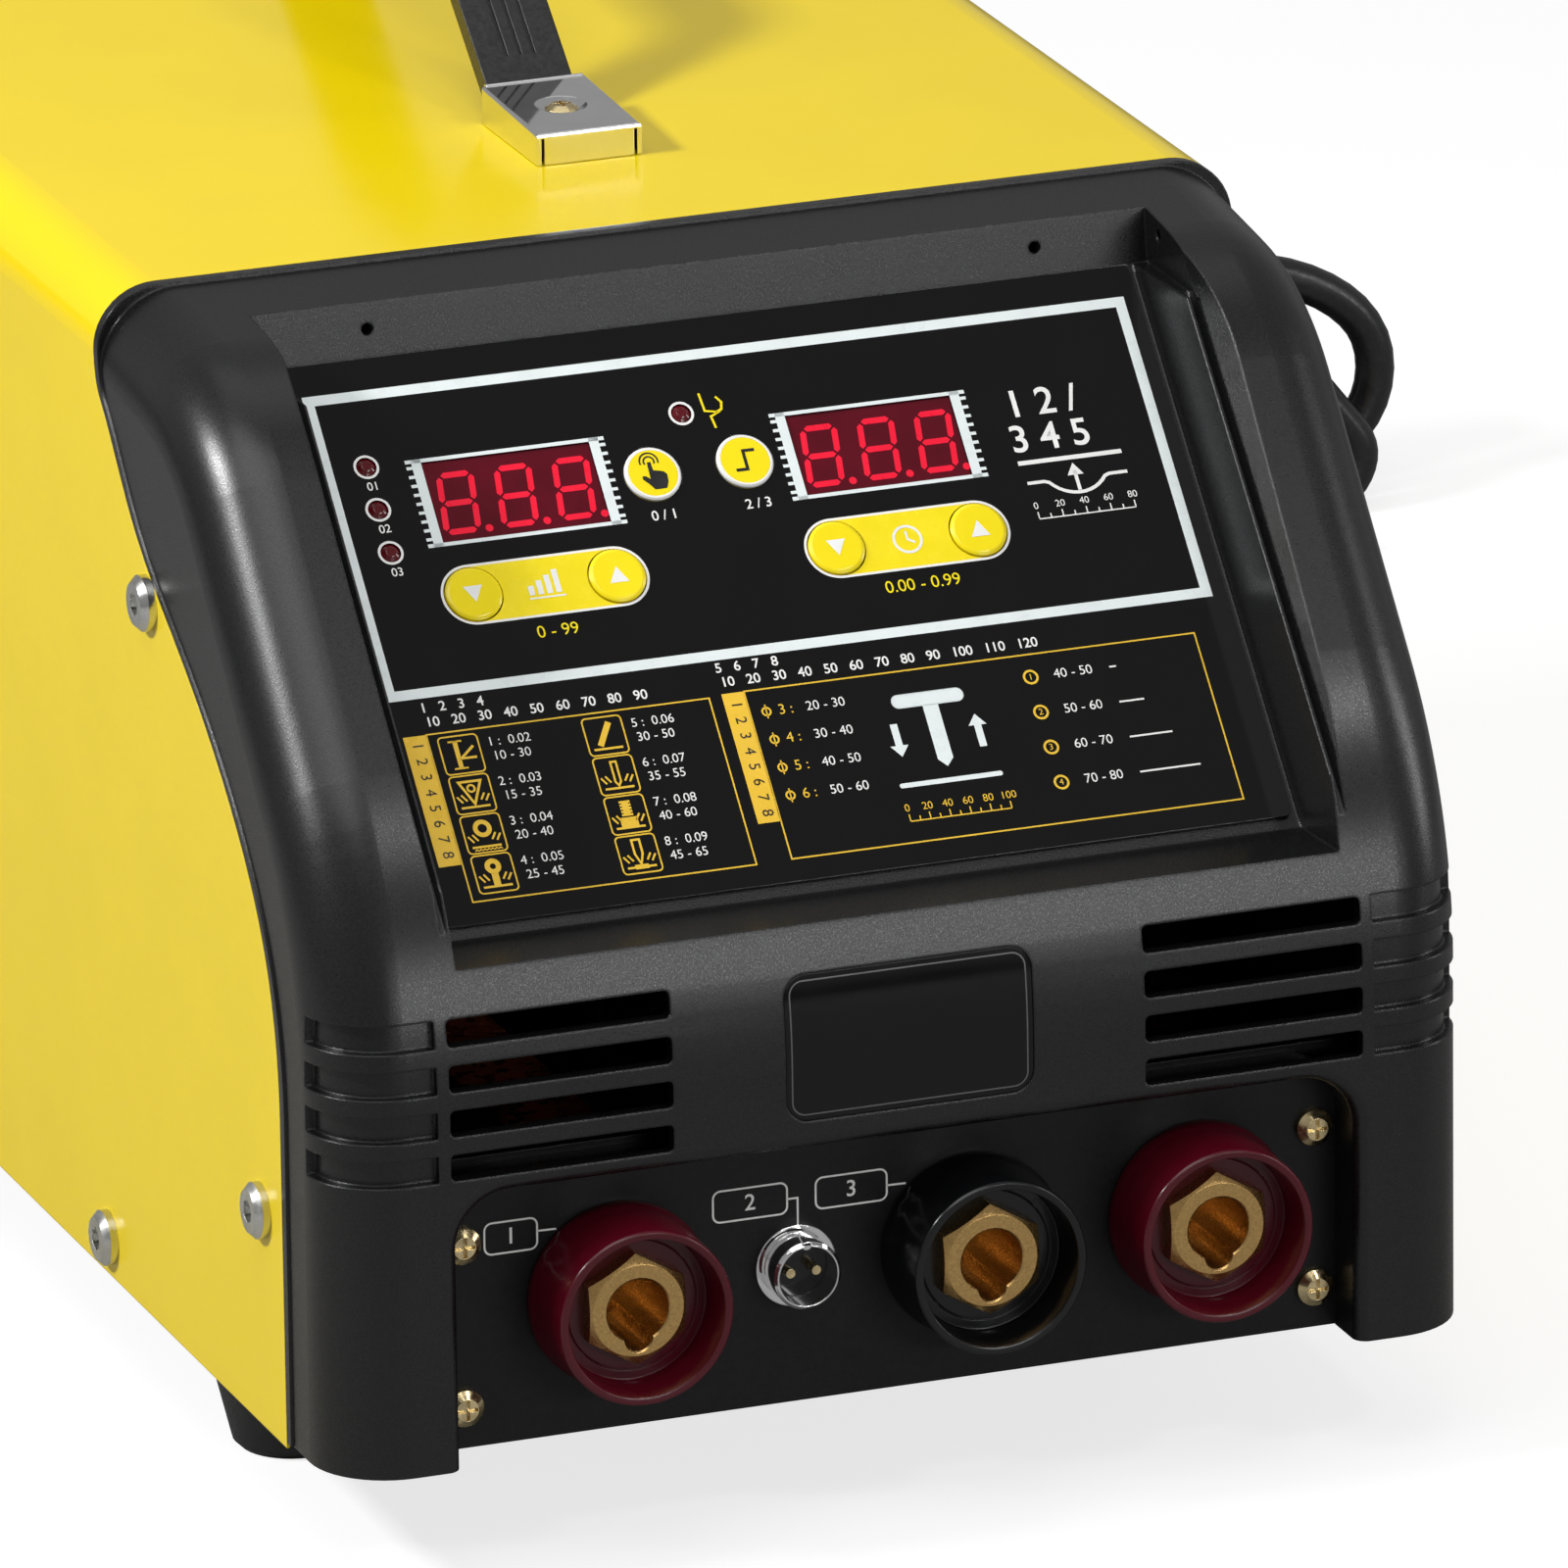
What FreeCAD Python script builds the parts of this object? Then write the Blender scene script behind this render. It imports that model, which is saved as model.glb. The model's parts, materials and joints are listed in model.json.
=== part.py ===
import FreeCAD, Part
import math
import os

# Dent pulling spot welder, in millimetres.
# X runs to the right, the front faces -Y and +Z is up. While it is modelled, Y = 0 is
# the front face of the connector panel and Z = 0 is the floor. At the end the whole
# machine is moved so that its origin is the middle of its underside.

os.makedirs("parts", exist_ok=True)

V = FreeCAD.Vector
AXIS_X = V(1, 0, 0)
AXIS_Y = V(0, 1, 0)
AXIS_Z = V(0, 0, 1)
FRONT = V(0, -1, 0)
DOWN = V(0, 0, -1)
RIGHT_ANGLE = 90
HALF_TURN = 180
FULL_TURN = 360
HEXAGON_SIDES = 6

# Case sizes
body_width = 253.6
body_bottom = 25.4
cover_top = 244.2
body_back = 430.0
sheet = 1.2
cover_corner = 13.5
overrun = 20.0
seat_gap = 0.15

# Side boundary between the cover and the fascia
flank_front = 17.3
rim_front = 126.5
boundary_shares = [
    (0.0, 0.3227),
    (0.0769, 0.4895),
    (0.2866, 0.6152),
    (0.5449, 0.7116),
    (0.794, 0.8003),
    (0.9496, 0.8871),
    (1.0, 0.9625),
]

# Fascia sizes
fascia_front = -12.5
fascia_bottom = 26.7
fascia_wall = 3.2
shoulder_z = 141.7
shoulder_radius = 100.0
brow_y = 72.2
brow_z = 237.1
brow_radius = 58.0
cheek_radius = 17.0
lip_width = 2.6
lip_proud = 0.5
tongue_depth = 20.0
tongue_wall = 3.0

# Control panel plane: its tilt from the vertical, and the top edge of its printed frame
panel_tilt = 44.1
panel_top_y = 97.2
panel_top_z = 224.5
membrane_gap = 1.5
membrane_above = 7.25
membrane_below = 123.35
membrane_thick = 1.0
membrane_corner = 1.5
pocket_half_share = 0.7571
pocket_draft = 0.082
pocket_wall = 2.5
pocket_margin = 0.6
pocket_reach = 45.0
bezel_crest = 18.3
bezel_lip = 0.5
bezel_groove = 1.5
bezel_groove_depth = 3.0
rim_draft = 0.3
ledge_margin = 2.6
ledge_run = 12.0
ledge_rise = 12.7
brow_wall_rise = 36.0
brow_hole_share = 0.774
brow_hole_up = 5.9
brow_hole_radius = 1.3
side_hole_up = 9.0
side_hole_out = 8.4

# Lower opening, air slots and nameplate
opening_half_share = 0.7808
opening_top = 86.0
opening_corner = 12.0
opening_wall = 2.5
opening_round = 3.0
slot_inner_share = 0.4093
slot_outer_share = 0.7918
slot_height = 5.75
slot_rib = 3.75
slot_first = 89.9
slot_count = 4
slot_corner = 1.2
blind_inner_share = 0.8123
blind_back = 3.0
blind_depth = 2.0
plate_width = 54.6
plate_height = 31.3
plate_bottom = 92.4
plate_corner = 5.0
plate_recess = 1.0
plate_sunk = 0.2

# Keys, displays and lamps: places are shares of the printed frame's half width and height,
# across from its middle and down the slope from its top
frame_inset = 3.05
frame_drop = 71.4
key_radius = 6.1
key_proud = 0.7
key_edge = 0.35
key_foot = 0.9
key_gap = 0.3
key_travel = 0.5
key_stem = 2.4
key_rest_gap = 0.1
key_counterbore = 0.8
key_place_shares = {
    "auto_manual_key": (-0.234, 0.3838),
    "mode_key": (-0.0098, 0.3796),
    "power_down_key": (-0.7294, 0.6933),
    "power_up_key": (-0.3838, 0.6933),
    "time_down_key": (0.1465, 0.6933),
    "time_up_key": (0.4921, 0.6933),
}
display_width_share = 0.4046
display_height = 18.8
display_sunk = 0.4
display_place_shares = [(-0.562, 0.3852), (0.315, 0.381)]
lamp_radius = 2.1
lamp_flange = 2.7
lamp_sunk = 0.3
lamp_dome = 0.7
lamp_place_shares = [(-0.8945, 0.2465), (-0.8945, 0.3866), (-0.8934, 0.528), (-0.1258, 0.2003)]
board_depth = 11.0
board_thick = 1.6
board_left_share = -0.9312
board_right_share = 0.6561
board_top = 6.0
board_low = 66.0
board_inset = 5.0
switch_side = 6.0
switch_height = 3.5
switch_plunger = 1.7
switch_plunger_height = 0.6
standoff_radius = 3.0
standoff_bore = 1.4
small_head_radius = 2.8
small_head_height = 1.8
small_screw_length = 5.0

# Connector panel, its sockets and the control connector
panel_thick = 1.5
panel_margin = 9.0
panel_flange = 12.0
panel_bottom = 26.8
panel_top = 90.0
panel_screw_inset = 4.8
panel_screw_low = 35.85
panel_screw_high = 71.3
panel_screw_head = 4.0
panel_screw_head_height = 2.6
panel_screw_shank = 2.0
panel_screw_length = 8.0
socket_z = 56.4
socket_place_shares = {"left": -0.6091, "middle": 0.1778, "right": 0.6869}
socket_radius = 19.0
socket_base_radius = 19.8
socket_reach = 18.0
socket_rim = 2.6
socket_rim_round = 0.8
socket_floor = 8.0
socket_step_radius = 13.6
socket_step_floor = 12.5
socket_neck = 14.5
socket_neck_length = 9.0
socket_back_radius = 17.0
socket_back_length = 6.0
insert_flats = 21.0
insert_face = 12.6
insert_bore = 6.75
insert_bore_depth = 26.0
insert_stud = 8.0
insert_end = 34.0
insert_chamfer = 0.8
key_slot_radius = 3.0
key_slot_drop = 5.9
nut_flats = 24.0
nut_thick = 6.0
link_place_share = -0.2152
link_z = 56.9
link_flange = 8.8
link_flange_thick = 1.0
link_ring = 7.4
link_thread = 7.0
link_reach = 8.2
link_ring_length = 5.0
link_bore = 6.4
link_core_sunk = 6.5
link_pin_proud = 3.6
link_pin_radius = 1.0
link_pin_gap = 2.85
link_back = 12.0
link_nut_flats = 18.0
link_nut_thick = 3.0
link_collar_gap = 1.4

# Chassis pan, rear panel and feet
pan_thick = 1.5
pan_flange = 17.0
pan_flange_start = 40.0
pan_ear_clear = 1.5
pan_ear_margin = 6.0
rear_flange = 22.0
foot_inset = 25.0
foot_front_y = 85.9
foot_rear_inset = 50.0
foot_top_radius = 18.0
foot_low_radius = 13.0
foot_round = 1.5
foot_recess_radius = 6.5
foot_recess_depth = 13.0
foot_screw_shank = 2.4
foot_head_radius = 5.0
foot_head_height = 3.0
foot_nut_height = 4.0

# Cover screws; the front ones sit behind the side boundary by their setback
cover_head_radius = 6.0
cover_head_height = 3.2
cover_head_taper = 1.4
cover_shank = 2.4
cover_screw_length = 9.0
cover_hex_recess = 2.3
cover_hex_depth = 2.0
side_screw_high = 185.3
side_screw_low = 73.4
side_screw_high_setback = 11.9
side_screw_low_setback = 12.9
pan_screw_front = 129.9
pan_screw_rear = 300.0
pan_screw_z = 34.0
rear_screw_inset = 12.0

# Carrying handle
handle_front = 189.4
handle_span = 176.0
cap_width = 23.6
cap_length = 34.2
cap_height = 7.0
cap_rear_height = 8.4
cap_lip = 0.9
cap_sheet = 1.0
cap_notch = 0.7
cap_round = 0.8
cap_dimple = 5.6
cap_dimple_low = 3.9
cap_dimple_depth = 1.5
strap_width = 19.4
strap_thick = 4.4
strap_rise = 39.5
strap_slope = 40.0
strap_crown_share = 0.258
strap_bend = 8.0
strap_clear = 0.15
strap_groove = 0.6
strip_width = 13.0
strip_thick = 1.6
handle_screw_head = 3.6
handle_screw_height = 1.8
handle_screw_shank = 2.4
handle_screw_length = 13.0

# Fan, switch and rear fittings
fan_inset = 78.8
fan_z = 150.0
fan_side = 92.0
fan_depth = 25.0
fan_bore = 43.5
fan_corner = 4.0
fan_screw_pitch = 82.5
fan_hub = 18.0
fan_hub_depth = 19.0
fan_blade_tip = 42.0
fan_blade_thick = 1.6
fan_blade_chord = 20.0
fan_blade_pitch = 38.0
fan_blade_count = 7
fan_strut = 4.0
fan_axle = 3.0
fan_axle_gap = 0.08
guard_ring = 1.8
guard_thick = 1.6
guard_rings = 4
guard_boss = 4.5
rear_screw_head = 3.6
rear_screw_height = 2.4
rear_screw_shank = 1.9
rear_screw_length = 10.0
power_inset = 56.8
power_z = 195.0
power_width = 28.0
power_height = 22.0
power_flange = 2.0
power_flange_thick = 2.0
power_depth = 24.0
rocker_width = 17.0
rocker_height = 14.0
rocker_radius = 9.0
rocker_gap = 0.8
rocker_sunk = 3.5
rocker_angle = 9.0
rocker_pin = 1.5
fuse_z = 152.0
fuse_radius = 7.5
fuse_head = 9.5
fuse_reach = 9.0
fuse_depth = 30.0
vent_width = 62.0
vent_height = 4.0
vent_pitch = 9.0
vent_count = 4
vent_z = 52.0
gland_inset = 42.8
gland_z = 66.0
gland_flats = 22.0
gland_flange = 5.0
gland_nut = 6.0
gland_nut_taper = 2.0
gland_thread = 9.0
gland_inside = 12.0
sleeve_length = 22.0
sleeve_root = 7.6
sleeve_tip = 5.8
sleeve_ring = 0.5
sleeve_ring_count = 5

# Mains cord: its free stretch after the gland, as (across, back, height), then its hank
cord_radius = 4.75
cord_bend_share = 0.45
cord_points = [
    (84.0, 486.5, 66.0),
    (84.3, 509.0, 55.5),
    (84.6, 531.5, 40.5),
    (85.2, 553.5, 25.0),
    (87.0, 575.5, 12.5),
    (92.5, 595.0, 6.5),
    (102.5, 611.5, 4.75),
    (116.0, 624.0, 4.75),
    (134.5, 631.6, 4.75),
]
hank_front = 590.0
hank_pitch = 10.4
hank_start = 156.0
hank_run_ends = [298.0, 294.0, 311.0, 337.6]
hank_left_ends = [150.0, 153.0, 148.0, 150.0]
hank_climb_start = 172.0
hank_climb_length = 112.0
hank_waist = 222.0
hank_waist_length = 10.0
hank_waist_height = 15.4
hank_left_radius = 28.5
hank_fold_low_far = 69.5
hank_fold_low_near = 20.0
hank_fold_high_near = 24.0
hank_fold_high_far = 70.0
hank_fold_far_turn = 30.0
hank_fold_near_turn = 60.0
hank_tight_radius = 9.5
hank_tight_turn = 128.0
hank_tight_run = 22.3
hank_tight_top = 30.0
hank_tail_aside = 24.0
hank_tail_length = 84.0
gap_step = 2.0
gap_apart = 38.0

# Mains plug
plug_height = 26.0
plug_width = 36.0
plug_length = 36.0
plug_shoulder = 14.0
plug_neck = 9.0
plug_round = 4.0
plug_edge_round = 3.0
plug_sleeve = 24.0
plug_sleeve_tip = 6.0
plug_pin_radius = 2.4
plug_pin_apart = 19.0
plug_pin_length = 19.0
plug_pin_seat = 6.0

# Inner pieces
core_inset = 29.8
core_clear = 3.5
core_y = 235.0
core_depth = 62.0
core_height = 106.0
core_leg_share = 0.16667
core_lift = 14.0
winding_gap = 0.8
primary_build_share = 0.5238
secondary_build_share = 0.3333
bracket_thick = 2.5
bracket_foot = 12.0
bracket_height = 26.0
can_radius = 25.5
can_height = 82.0
can_pitch = 54.0
bank_inset = 40.8
can_y = 150.0
can_rows = 4
can_lift = 5.0
can_terminal = 4.5
can_terminal_height = 5.0
can_terminal_gap = 7.0
bank_board_thick = 2.0
clamp_thick = 2.0
clamp_lift = 44.0
sink_inset = 34.8
sink_width = 96.0
sink_y = 330.0
sink_depth = 62.0
sink_base = 8.0
sink_fin = 2.0
sink_fin_height = 42.0
sink_fin_count = 12
module_width = 34.0
module_depth = 56.0
module_height = 28.0
module_gap = 10.0
bar_width = 20.0
bar_thick = 3.0
bar_drop = 12.0
bar_rise = 22.0
bar_foot = 15.0

# Sizes worked out from the ones above
half_width = body_width / 2
body_height = cover_top - body_bottom
pocket_half = half_width * pocket_half_share
membrane_half = pocket_half - membrane_gap
frame_half = membrane_half - frame_inset
brow_hole_x = pocket_half * brow_hole_share
bezel_half = pocket_half + pocket_draft * bezel_crest
cavity_half = bezel_half + bezel_lip + bezel_groove
board_left = membrane_half * board_left_share
board_right = membrane_half * board_right_share
display_width = frame_half * display_width_share
key_stem_end = board_depth - switch_height - switch_plunger_height - key_travel - key_rest_gap
opening_half = half_width * opening_half_share
slot_inner = half_width * slot_inner_share
slot_outer = half_width * slot_outer_share
blind_inner = half_width * blind_inner_share
panel_half = opening_half + panel_margin
panel_screw_x = opening_half - panel_screw_inset
link_x = opening_half * link_place_share
pan_ear_inner = opening_half * socket_place_shares["right"] + socket_back_radius + pan_ear_clear
pan_ear_outer = opening_half + pan_ear_margin
foot_x = half_width - foot_inset
fan_x = fan_inset - half_width
power_x = half_width - power_inset
fuse_x = power_x
gland_x = half_width - gland_inset
can_x = half_width - bank_inset
sink_x = sink_inset - half_width
core_left = core_inset - half_width + bracket_foot
core_right = can_x - can_radius - clamp_thick * 2 - core_clear - bracket_foot
core_x = (core_left + core_right) / 2
core_width = core_right - core_left
core_leg = core_width * core_leg_share
core_window = core_width / 2 - core_leg * 2
primary_build = core_window * primary_build_share
secondary_build = core_window * secondary_build_share
key_places = {
    name: (across * frame_half, down * frame_drop)
    for name, (across, down) in key_place_shares.items()
}
display_places = [(across * frame_half, down * frame_drop) for across, down in display_place_shares]
lamp_places = [(across * frame_half, down * frame_drop) for across, down in lamp_place_shares]
socket_places = {name: share * opening_half for name, share in socket_place_shares.items()}


# Shape helpers

def block(x0, x1, y0, y1, z0, z1):
    return Part.makeBox(x1 - x0, y1 - y0, z1 - z0, V(x0, y0, z0))


def rod(base, axis, radius, length):
    return Part.makeCylinder(radius, length, base, axis)


def pipe(base, axis, outer, inner, length):
    return rod(base, axis, outer, length).cut(rod(base, axis, inner, length))


def outline_edges(corners, closed=True):
    """Edges through corners, each given as (point, radius); a radius of 0 stays sharp."""
    turns = []
    count = len(corners)
    for i, (point, radius) in enumerate(corners):
        if radius == 0:
            turns.append((point, None, point))
            continue
        to_last = (corners[i - 1][0] - point).normalize()
        to_next = (corners[(i + 1) % count][0] - point).normalize()
        half = to_last.getAngle(to_next) / 2
        reach = radius / math.tan(half)
        inward = (to_last + to_next).normalize()
        middle = point + inward * (radius / math.sin(half) - radius)
        turns.append((point + to_last * reach, middle, point + to_next * reach))
    edges = []
    for i, (start, middle, end) in enumerate(turns):
        if middle is not None:
            edges.append(Part.Arc(start, middle, end).toShape())
        if closed or i + 1 < count:
            following = turns[(i + 1) % count][0]
            if end.distanceToPoint(following) > Part.Vertex(end).Tolerance:
                edges.append(Part.LineSegment(end, following).toShape())
    return edges


def plate(corners, depth):
    """A flat outline with rounded corners, pushed along the vector depth."""
    return Part.Face(Part.Wire(outline_edges(corners))).extrude(depth)


def polygon(points, depth):
    return plate([(point, 0) for point in points], depth)


def rounded_rectangle(x0, x1, z0, z1, radius, y0, y1):
    """A plate that faces the front, from y0 to y1."""
    corners = [V(x0, y0, z0), V(x1, y0, z0), V(x1, y0, z1), V(x0, y0, z1)]
    return plate([(corner, radius) for corner in corners], V(0, y1 - y0, 0))


def turned(profile, centre, axis=AXIS_Y):
    """A profile of (radius, distance along the axis) turned about the axis through centre."""
    across = AXIS_Z if axis.isEqual(AXIS_X * axis.x, seat_gap) else AXIS_X
    points = [centre + across * radius + axis * along for radius, along in profile]
    face = Part.Face(Part.makePolygon(points + [points[0]]))
    return face.revolve(centre, axis, FULL_TURN)


def hexagon_corner(flats):
    return flats / 2 / math.cos(math.radians(HALF_TURN / HEXAGON_SIDES))


def hexagon(centre, flats, axis, length, first_angle=RIGHT_ANGLE):
    """A six-sided bar; for an axis along Y the first corner is at first_angle above X."""
    corner = hexagon_corner(flats)
    points = []
    for i in range(HEXAGON_SIDES):
        angle = math.radians(first_angle + i * FULL_TURN / HEXAGON_SIDES)
        if abs(axis.z) > abs(axis.y):
            points.append(centre + V(corner * math.cos(angle), corner * math.sin(angle), 0))
        elif abs(axis.x) > abs(axis.y):
            points.append(centre + V(0, corner * math.cos(angle), corner * math.sin(angle)))
        else:
            points.append(centre + V(corner * math.cos(angle), 0, corner * math.sin(angle)))
    return polygon(points, axis * length)


def cross_cutter(centre, axis, arm, width, depth):
    """A cross recess that opens along axis at centre."""
    along = axis * -depth
    first = AXIS_X if abs(axis.x) < abs(axis.y) + abs(axis.z) else AXIS_Y
    second = axis.cross(first)
    cutter = None
    for one, two in ((first, second), (second, first)):
        a = one * arm
        b = two * (width / 2)
        bar = polygon([centre - a - b, centre + a - b, centre + a + b, centre - a + b], along)
        cutter = bar if cutter is None else cutter.fuse(bar)
    return cutter


def pan_screw(seat, axis, head, height, shank, length):
    """A domed screw: seat is under the head's middle, and axis points out of the head."""
    rise = height / 2
    shape = turned([(0, 0), (head, 0), (head, rise), (head * 0.6, height), (0, height)], seat, axis)
    shape = shape.fuse(rod(seat, -axis, shank, length))
    top = seat + axis * height
    return shape.cut(cross_cutter(top, axis, head * 0.55, head * 0.2, height * 0.42))


def union(shapes):
    result = shapes[0]
    for shape in shapes[1:]:
        result = result.fuse(shape)
    return result


panel_place = FreeCAD.Placement(
    V(0, panel_top_y, panel_top_z), FreeCAD.Rotation(AXIS_X, RIGHT_ANGLE - panel_tilt)
)


def on_panel(shape):
    """Panel places are (across, up the slope, outwards); this turns them into machine places."""
    return shape.transformed(panel_place.toMatrix())


pieces = {}


def keep(name, shapes):
    """Store a node's solids under the node's name."""
    found = []
    for shape in shapes if isinstance(shapes, list) else [shapes]:
        found.extend(shape.removeSplitter().Solids)
    pieces[name] = found


# Side boundary curve, and the region behind it

def boundary_points(shift_y=0.0):
    depth = rim_front - flank_front
    return [
        V(0, flank_front + share_y * depth + shift_y, body_bottom + share_z * body_height)
        for share_y, share_z in boundary_shares
    ]


def boundary_edges(shift_y, low, high):
    """The boundary from the height low to the height high, as a line, a curve and a line."""
    points = boundary_points(shift_y)
    curve = Part.BSplineCurve()
    curve.interpolate(Points=points, InitialTangent=AXIS_Z, FinalTangent=AXIS_Z)
    bottom = V(0, points[0].y, low)
    top = V(0, points[-1].y, high)
    return [
        Part.LineSegment(bottom, points[0]).toShape(),
        curve.toShape(),
        Part.LineSegment(points[-1], top).toShape(),
    ]


def band_behind(shift_y, back_y, low, high, half):
    """Everything behind the shifted boundary, as far as back_y, between two heights."""
    edges = boundary_edges(shift_y, low, high)
    first = edges[0].Vertexes[0].Point
    last = V(0, rim_front + shift_y, high)
    closing = Part.makePolygon([last, V(0, back_y, high), V(0, back_y, low), first])
    face = Part.Face(Part.Wire(edges + closing.Edges))
    face.translate(V(-half, 0, 0))
    return face.extrude(V(half * 2, 0, 0))


def case_section(inset, y0, y1, low):
    """The case's inverted U section, filled, from y0 to y1."""
    half = half_width - inset
    top = cover_top - inset
    radius = cover_corner - inset
    corners = [
        (V(-half, y0, low), 0),
        (V(half, y0, low), 0),
        (V(half, y0, top), radius),
        (V(-half, y0, top), radius),
    ]
    return plate(corners, V(0, y1 - y0, 0))


# Top cover

def make_top_cover():
    low = body_bottom
    outer = case_section(0, 0, body_back, low)
    inner = case_section(sheet, -overrun, body_back + overrun, low - overrun)
    shell = outer.cut(inner)
    region = band_behind(seat_gap, body_back, low - overrun, cover_top + overrun, body_width)
    shell = shell.common(region)
    for side in (-1, 1):
        for y, z in cover_screw_places():
            base = V(side * (half_width - overrun), y, z)
            shell = shell.cut(rod(base, AXIS_X * side, cover_shank + seat_gap, overrun * 2))
    for y in handle_places():
        base = V(0, y, cover_top - overrun)
        shell = shell.cut(rod(base, AXIS_Z, handle_screw_shank + seat_gap, overrun * 2))
    return shell


def boundary_at(height):
    """How far back the side boundary lies at a height, along the chords of its points."""
    points = boundary_points()
    found = points[0].y
    for low, high in zip(points, points[1:]):
        if low.z <= height <= high.z:
            found = low.y + (high.y - low.y) * (height - low.z) / (high.z - low.z)
    return found


def fascia_screw_places():
    return [(boundary_at(side_screw_high) + side_screw_high_setback, side_screw_high),
            (boundary_at(side_screw_low) + side_screw_low_setback, side_screw_low)]


def cover_screw_places():
    places = fascia_screw_places()
    places += [(y, pan_screw_z) for y in (pan_screw_front, pan_screw_rear)]
    places += [(body_back - rear_screw_inset, z) for z in (side_screw_high, side_screw_low)]
    return places


def handle_places():
    return (handle_front, handle_front + handle_span)


# Front fascia

def fascia_corners(inset):
    """Corners of the fascia's side view, moved inwards by inset, from the bottom to the rim."""
    lean = V(0, brow_y - fascia_front, brow_z - shoulder_z).normalize()
    roof = V(0, rim_front - brow_y, cover_top - lip_proud - brow_z).normalize()
    lean_point = V(0, fascia_front, shoulder_z) + V(0, lean.z, -lean.y) * inset
    roof_point = V(0, brow_y, brow_z) + V(0, roof.z, -roof.y) * inset
    front = fascia_front + inset
    shoulder = lean_point + lean * ((front - lean_point.y) / lean.y)
    crossing = lean.cross(roof).x
    reach = (roof_point - lean_point).cross(roof).x / crossing
    brow = lean_point + lean * reach
    rear_y = rim_front + overrun
    rear = roof_point + roof * ((rear_y - roof_point.y) / roof.y)
    return front, shoulder, brow, rear


def fascia_solid(inset):
    """The fascia's outer form moved inwards by inset, running on behind the boundary."""
    front, shoulder, brow, rear = fascia_corners(inset)
    bottom = fascia_bottom + (inset if inset > 0 else 0)
    half = half_width - lip_proud - inset
    corners = [
        (V(-half, rear.y, bottom), 0),
        (V(-half, front, bottom), 0),
        (V(-half, shoulder.y, shoulder.z), shoulder_radius - inset),
        (V(-half, brow.y, brow.z), brow_radius - inset),
        (V(-half, rear.y, rear.z), 0),
    ]
    edges = outline_edges(corners)
    solid = Part.Face(Part.Wire(edges)).extrude(V(half * 2, 0, 0))
    probes = []
    for edge in edges:
        middle = edge.valueAt((edge.FirstParameter + edge.LastParameter) / 2)
        on_floor = abs(middle.z - bottom) < seat_gap
        on_back = abs(middle.y - rear.y) < seat_gap
        if not on_floor and not on_back:
            probes += [middle, middle + V(half * 2, 0, 0)]
    chosen = []
    for edge in solid.Edges:
        for probe in probes:
            if edge.distToShape(Part.Vertex(probe))[0] < lip_proud / 50:
                chosen.append(edge)
                break
    return solid.makeFillet(cheek_radius - inset, chosen)


def pocket_form(grow):
    """The control panel's pocket as a solid, grown by a wall of grow, in panel places."""
    floor = -membrane_thick - grow
    low = -membrane_below - ledge_margin
    lean = ledge_run / ledge_rise
    slant = math.hypot(ledge_run, ledge_rise) / ledge_rise
    start = low - grow * slant + lean * grow
    end = start - lean * (pocket_reach - floor)
    rise = math.radians(brow_wall_rise)
    turn = membrane_above + pocket_margin + grow * math.tan(rise / 2)
    above = turn + (pocket_reach - floor) / math.tan(rise)
    side = polygon(
        [V(-half_width, start, floor), V(-half_width, turn, floor),
         V(-half_width, above, pocket_reach), V(-half_width, end, pocket_reach)],
        V(body_width, 0, 0),
    )
    flare = cavity_half + rim_draft * (pocket_reach - bezel_crest)
    trough = bezel_crest - bezel_groove_depth - grow
    bezel = [(pocket_half + grow, floor)]
    if grow == 0:
        bezel += [(bezel_half, bezel_crest), (bezel_half + bezel_lip, bezel_crest),
                  (bezel_half + bezel_lip, trough)]
    else:
        bezel += [(bezel_half + grow, trough)]
    bezel += [(cavity_half + grow, trough)]
    rim = [(cavity_half + grow, bezel_crest), (flare + grow, pocket_reach)]
    across = mirrored_bar(bezel + rim, end, above)
    cavity = mirrored_bar([(cavity_half + grow, floor)] + rim, end, above)
    return on_panel(side.common(across.fuse(cavity.common(sill_form(grow)))))


def mirrored_bar(half_section, start, end):
    """A bar up the slope whose section is mirrored, from its right half as (across, outwards)."""
    right = [V(across, start, outwards) for across, outwards in half_section]
    left = [V(-point.x, point.y, point.z) for point in reversed(right)]
    return polygon(right + left, V(0, end - start, 0))


def sill_form(grow):
    """Everything above the level plane through the membrane's top edge, in panel places."""
    lie = math.radians(RIGHT_ANGLE - panel_tilt)
    level = V(0, -math.cos(lie), math.sin(lie)) * pocket_reach
    raised = V(0, math.sin(lie), math.cos(lie))
    base = V(-half_width, membrane_above + pocket_margin, -membrane_thick) - raised * grow
    corners = [base - level, base + level * 2, base + level * 2 + raised * pocket_reach,
               base - level + raised * pocket_reach]
    return polygon(corners, V(body_width, 0, 0))


def brow_holes():
    """Screw holes in the pocket's top wall and, near its top, in its side walls."""
    rise = math.radians(brow_wall_rise)
    along = V(0, math.cos(rise), math.sin(rise))
    axis = V(0, -math.sin(rise), math.cos(rise))
    foot = V(0, membrane_above + pocket_margin, -membrane_thick)
    holes = []
    for side in (-1, 1):
        base = foot + along * brow_hole_up + AXIS_X * (side * brow_hole_x) - axis * (overrun / 2)
        holes.append(rod(base, axis, brow_hole_radius, overrun))
        base = V(side * (cavity_half - pocket_wall), side_hole_up, side_hole_out)
        holes.append(rod(base, AXIS_X * side, brow_hole_radius, pocket_wall * 3))
    return on_panel(Part.makeCompound(holes))


def slot_levels():
    return [slot_first + i * (slot_height + slot_rib) for i in range(slot_count)]


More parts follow.
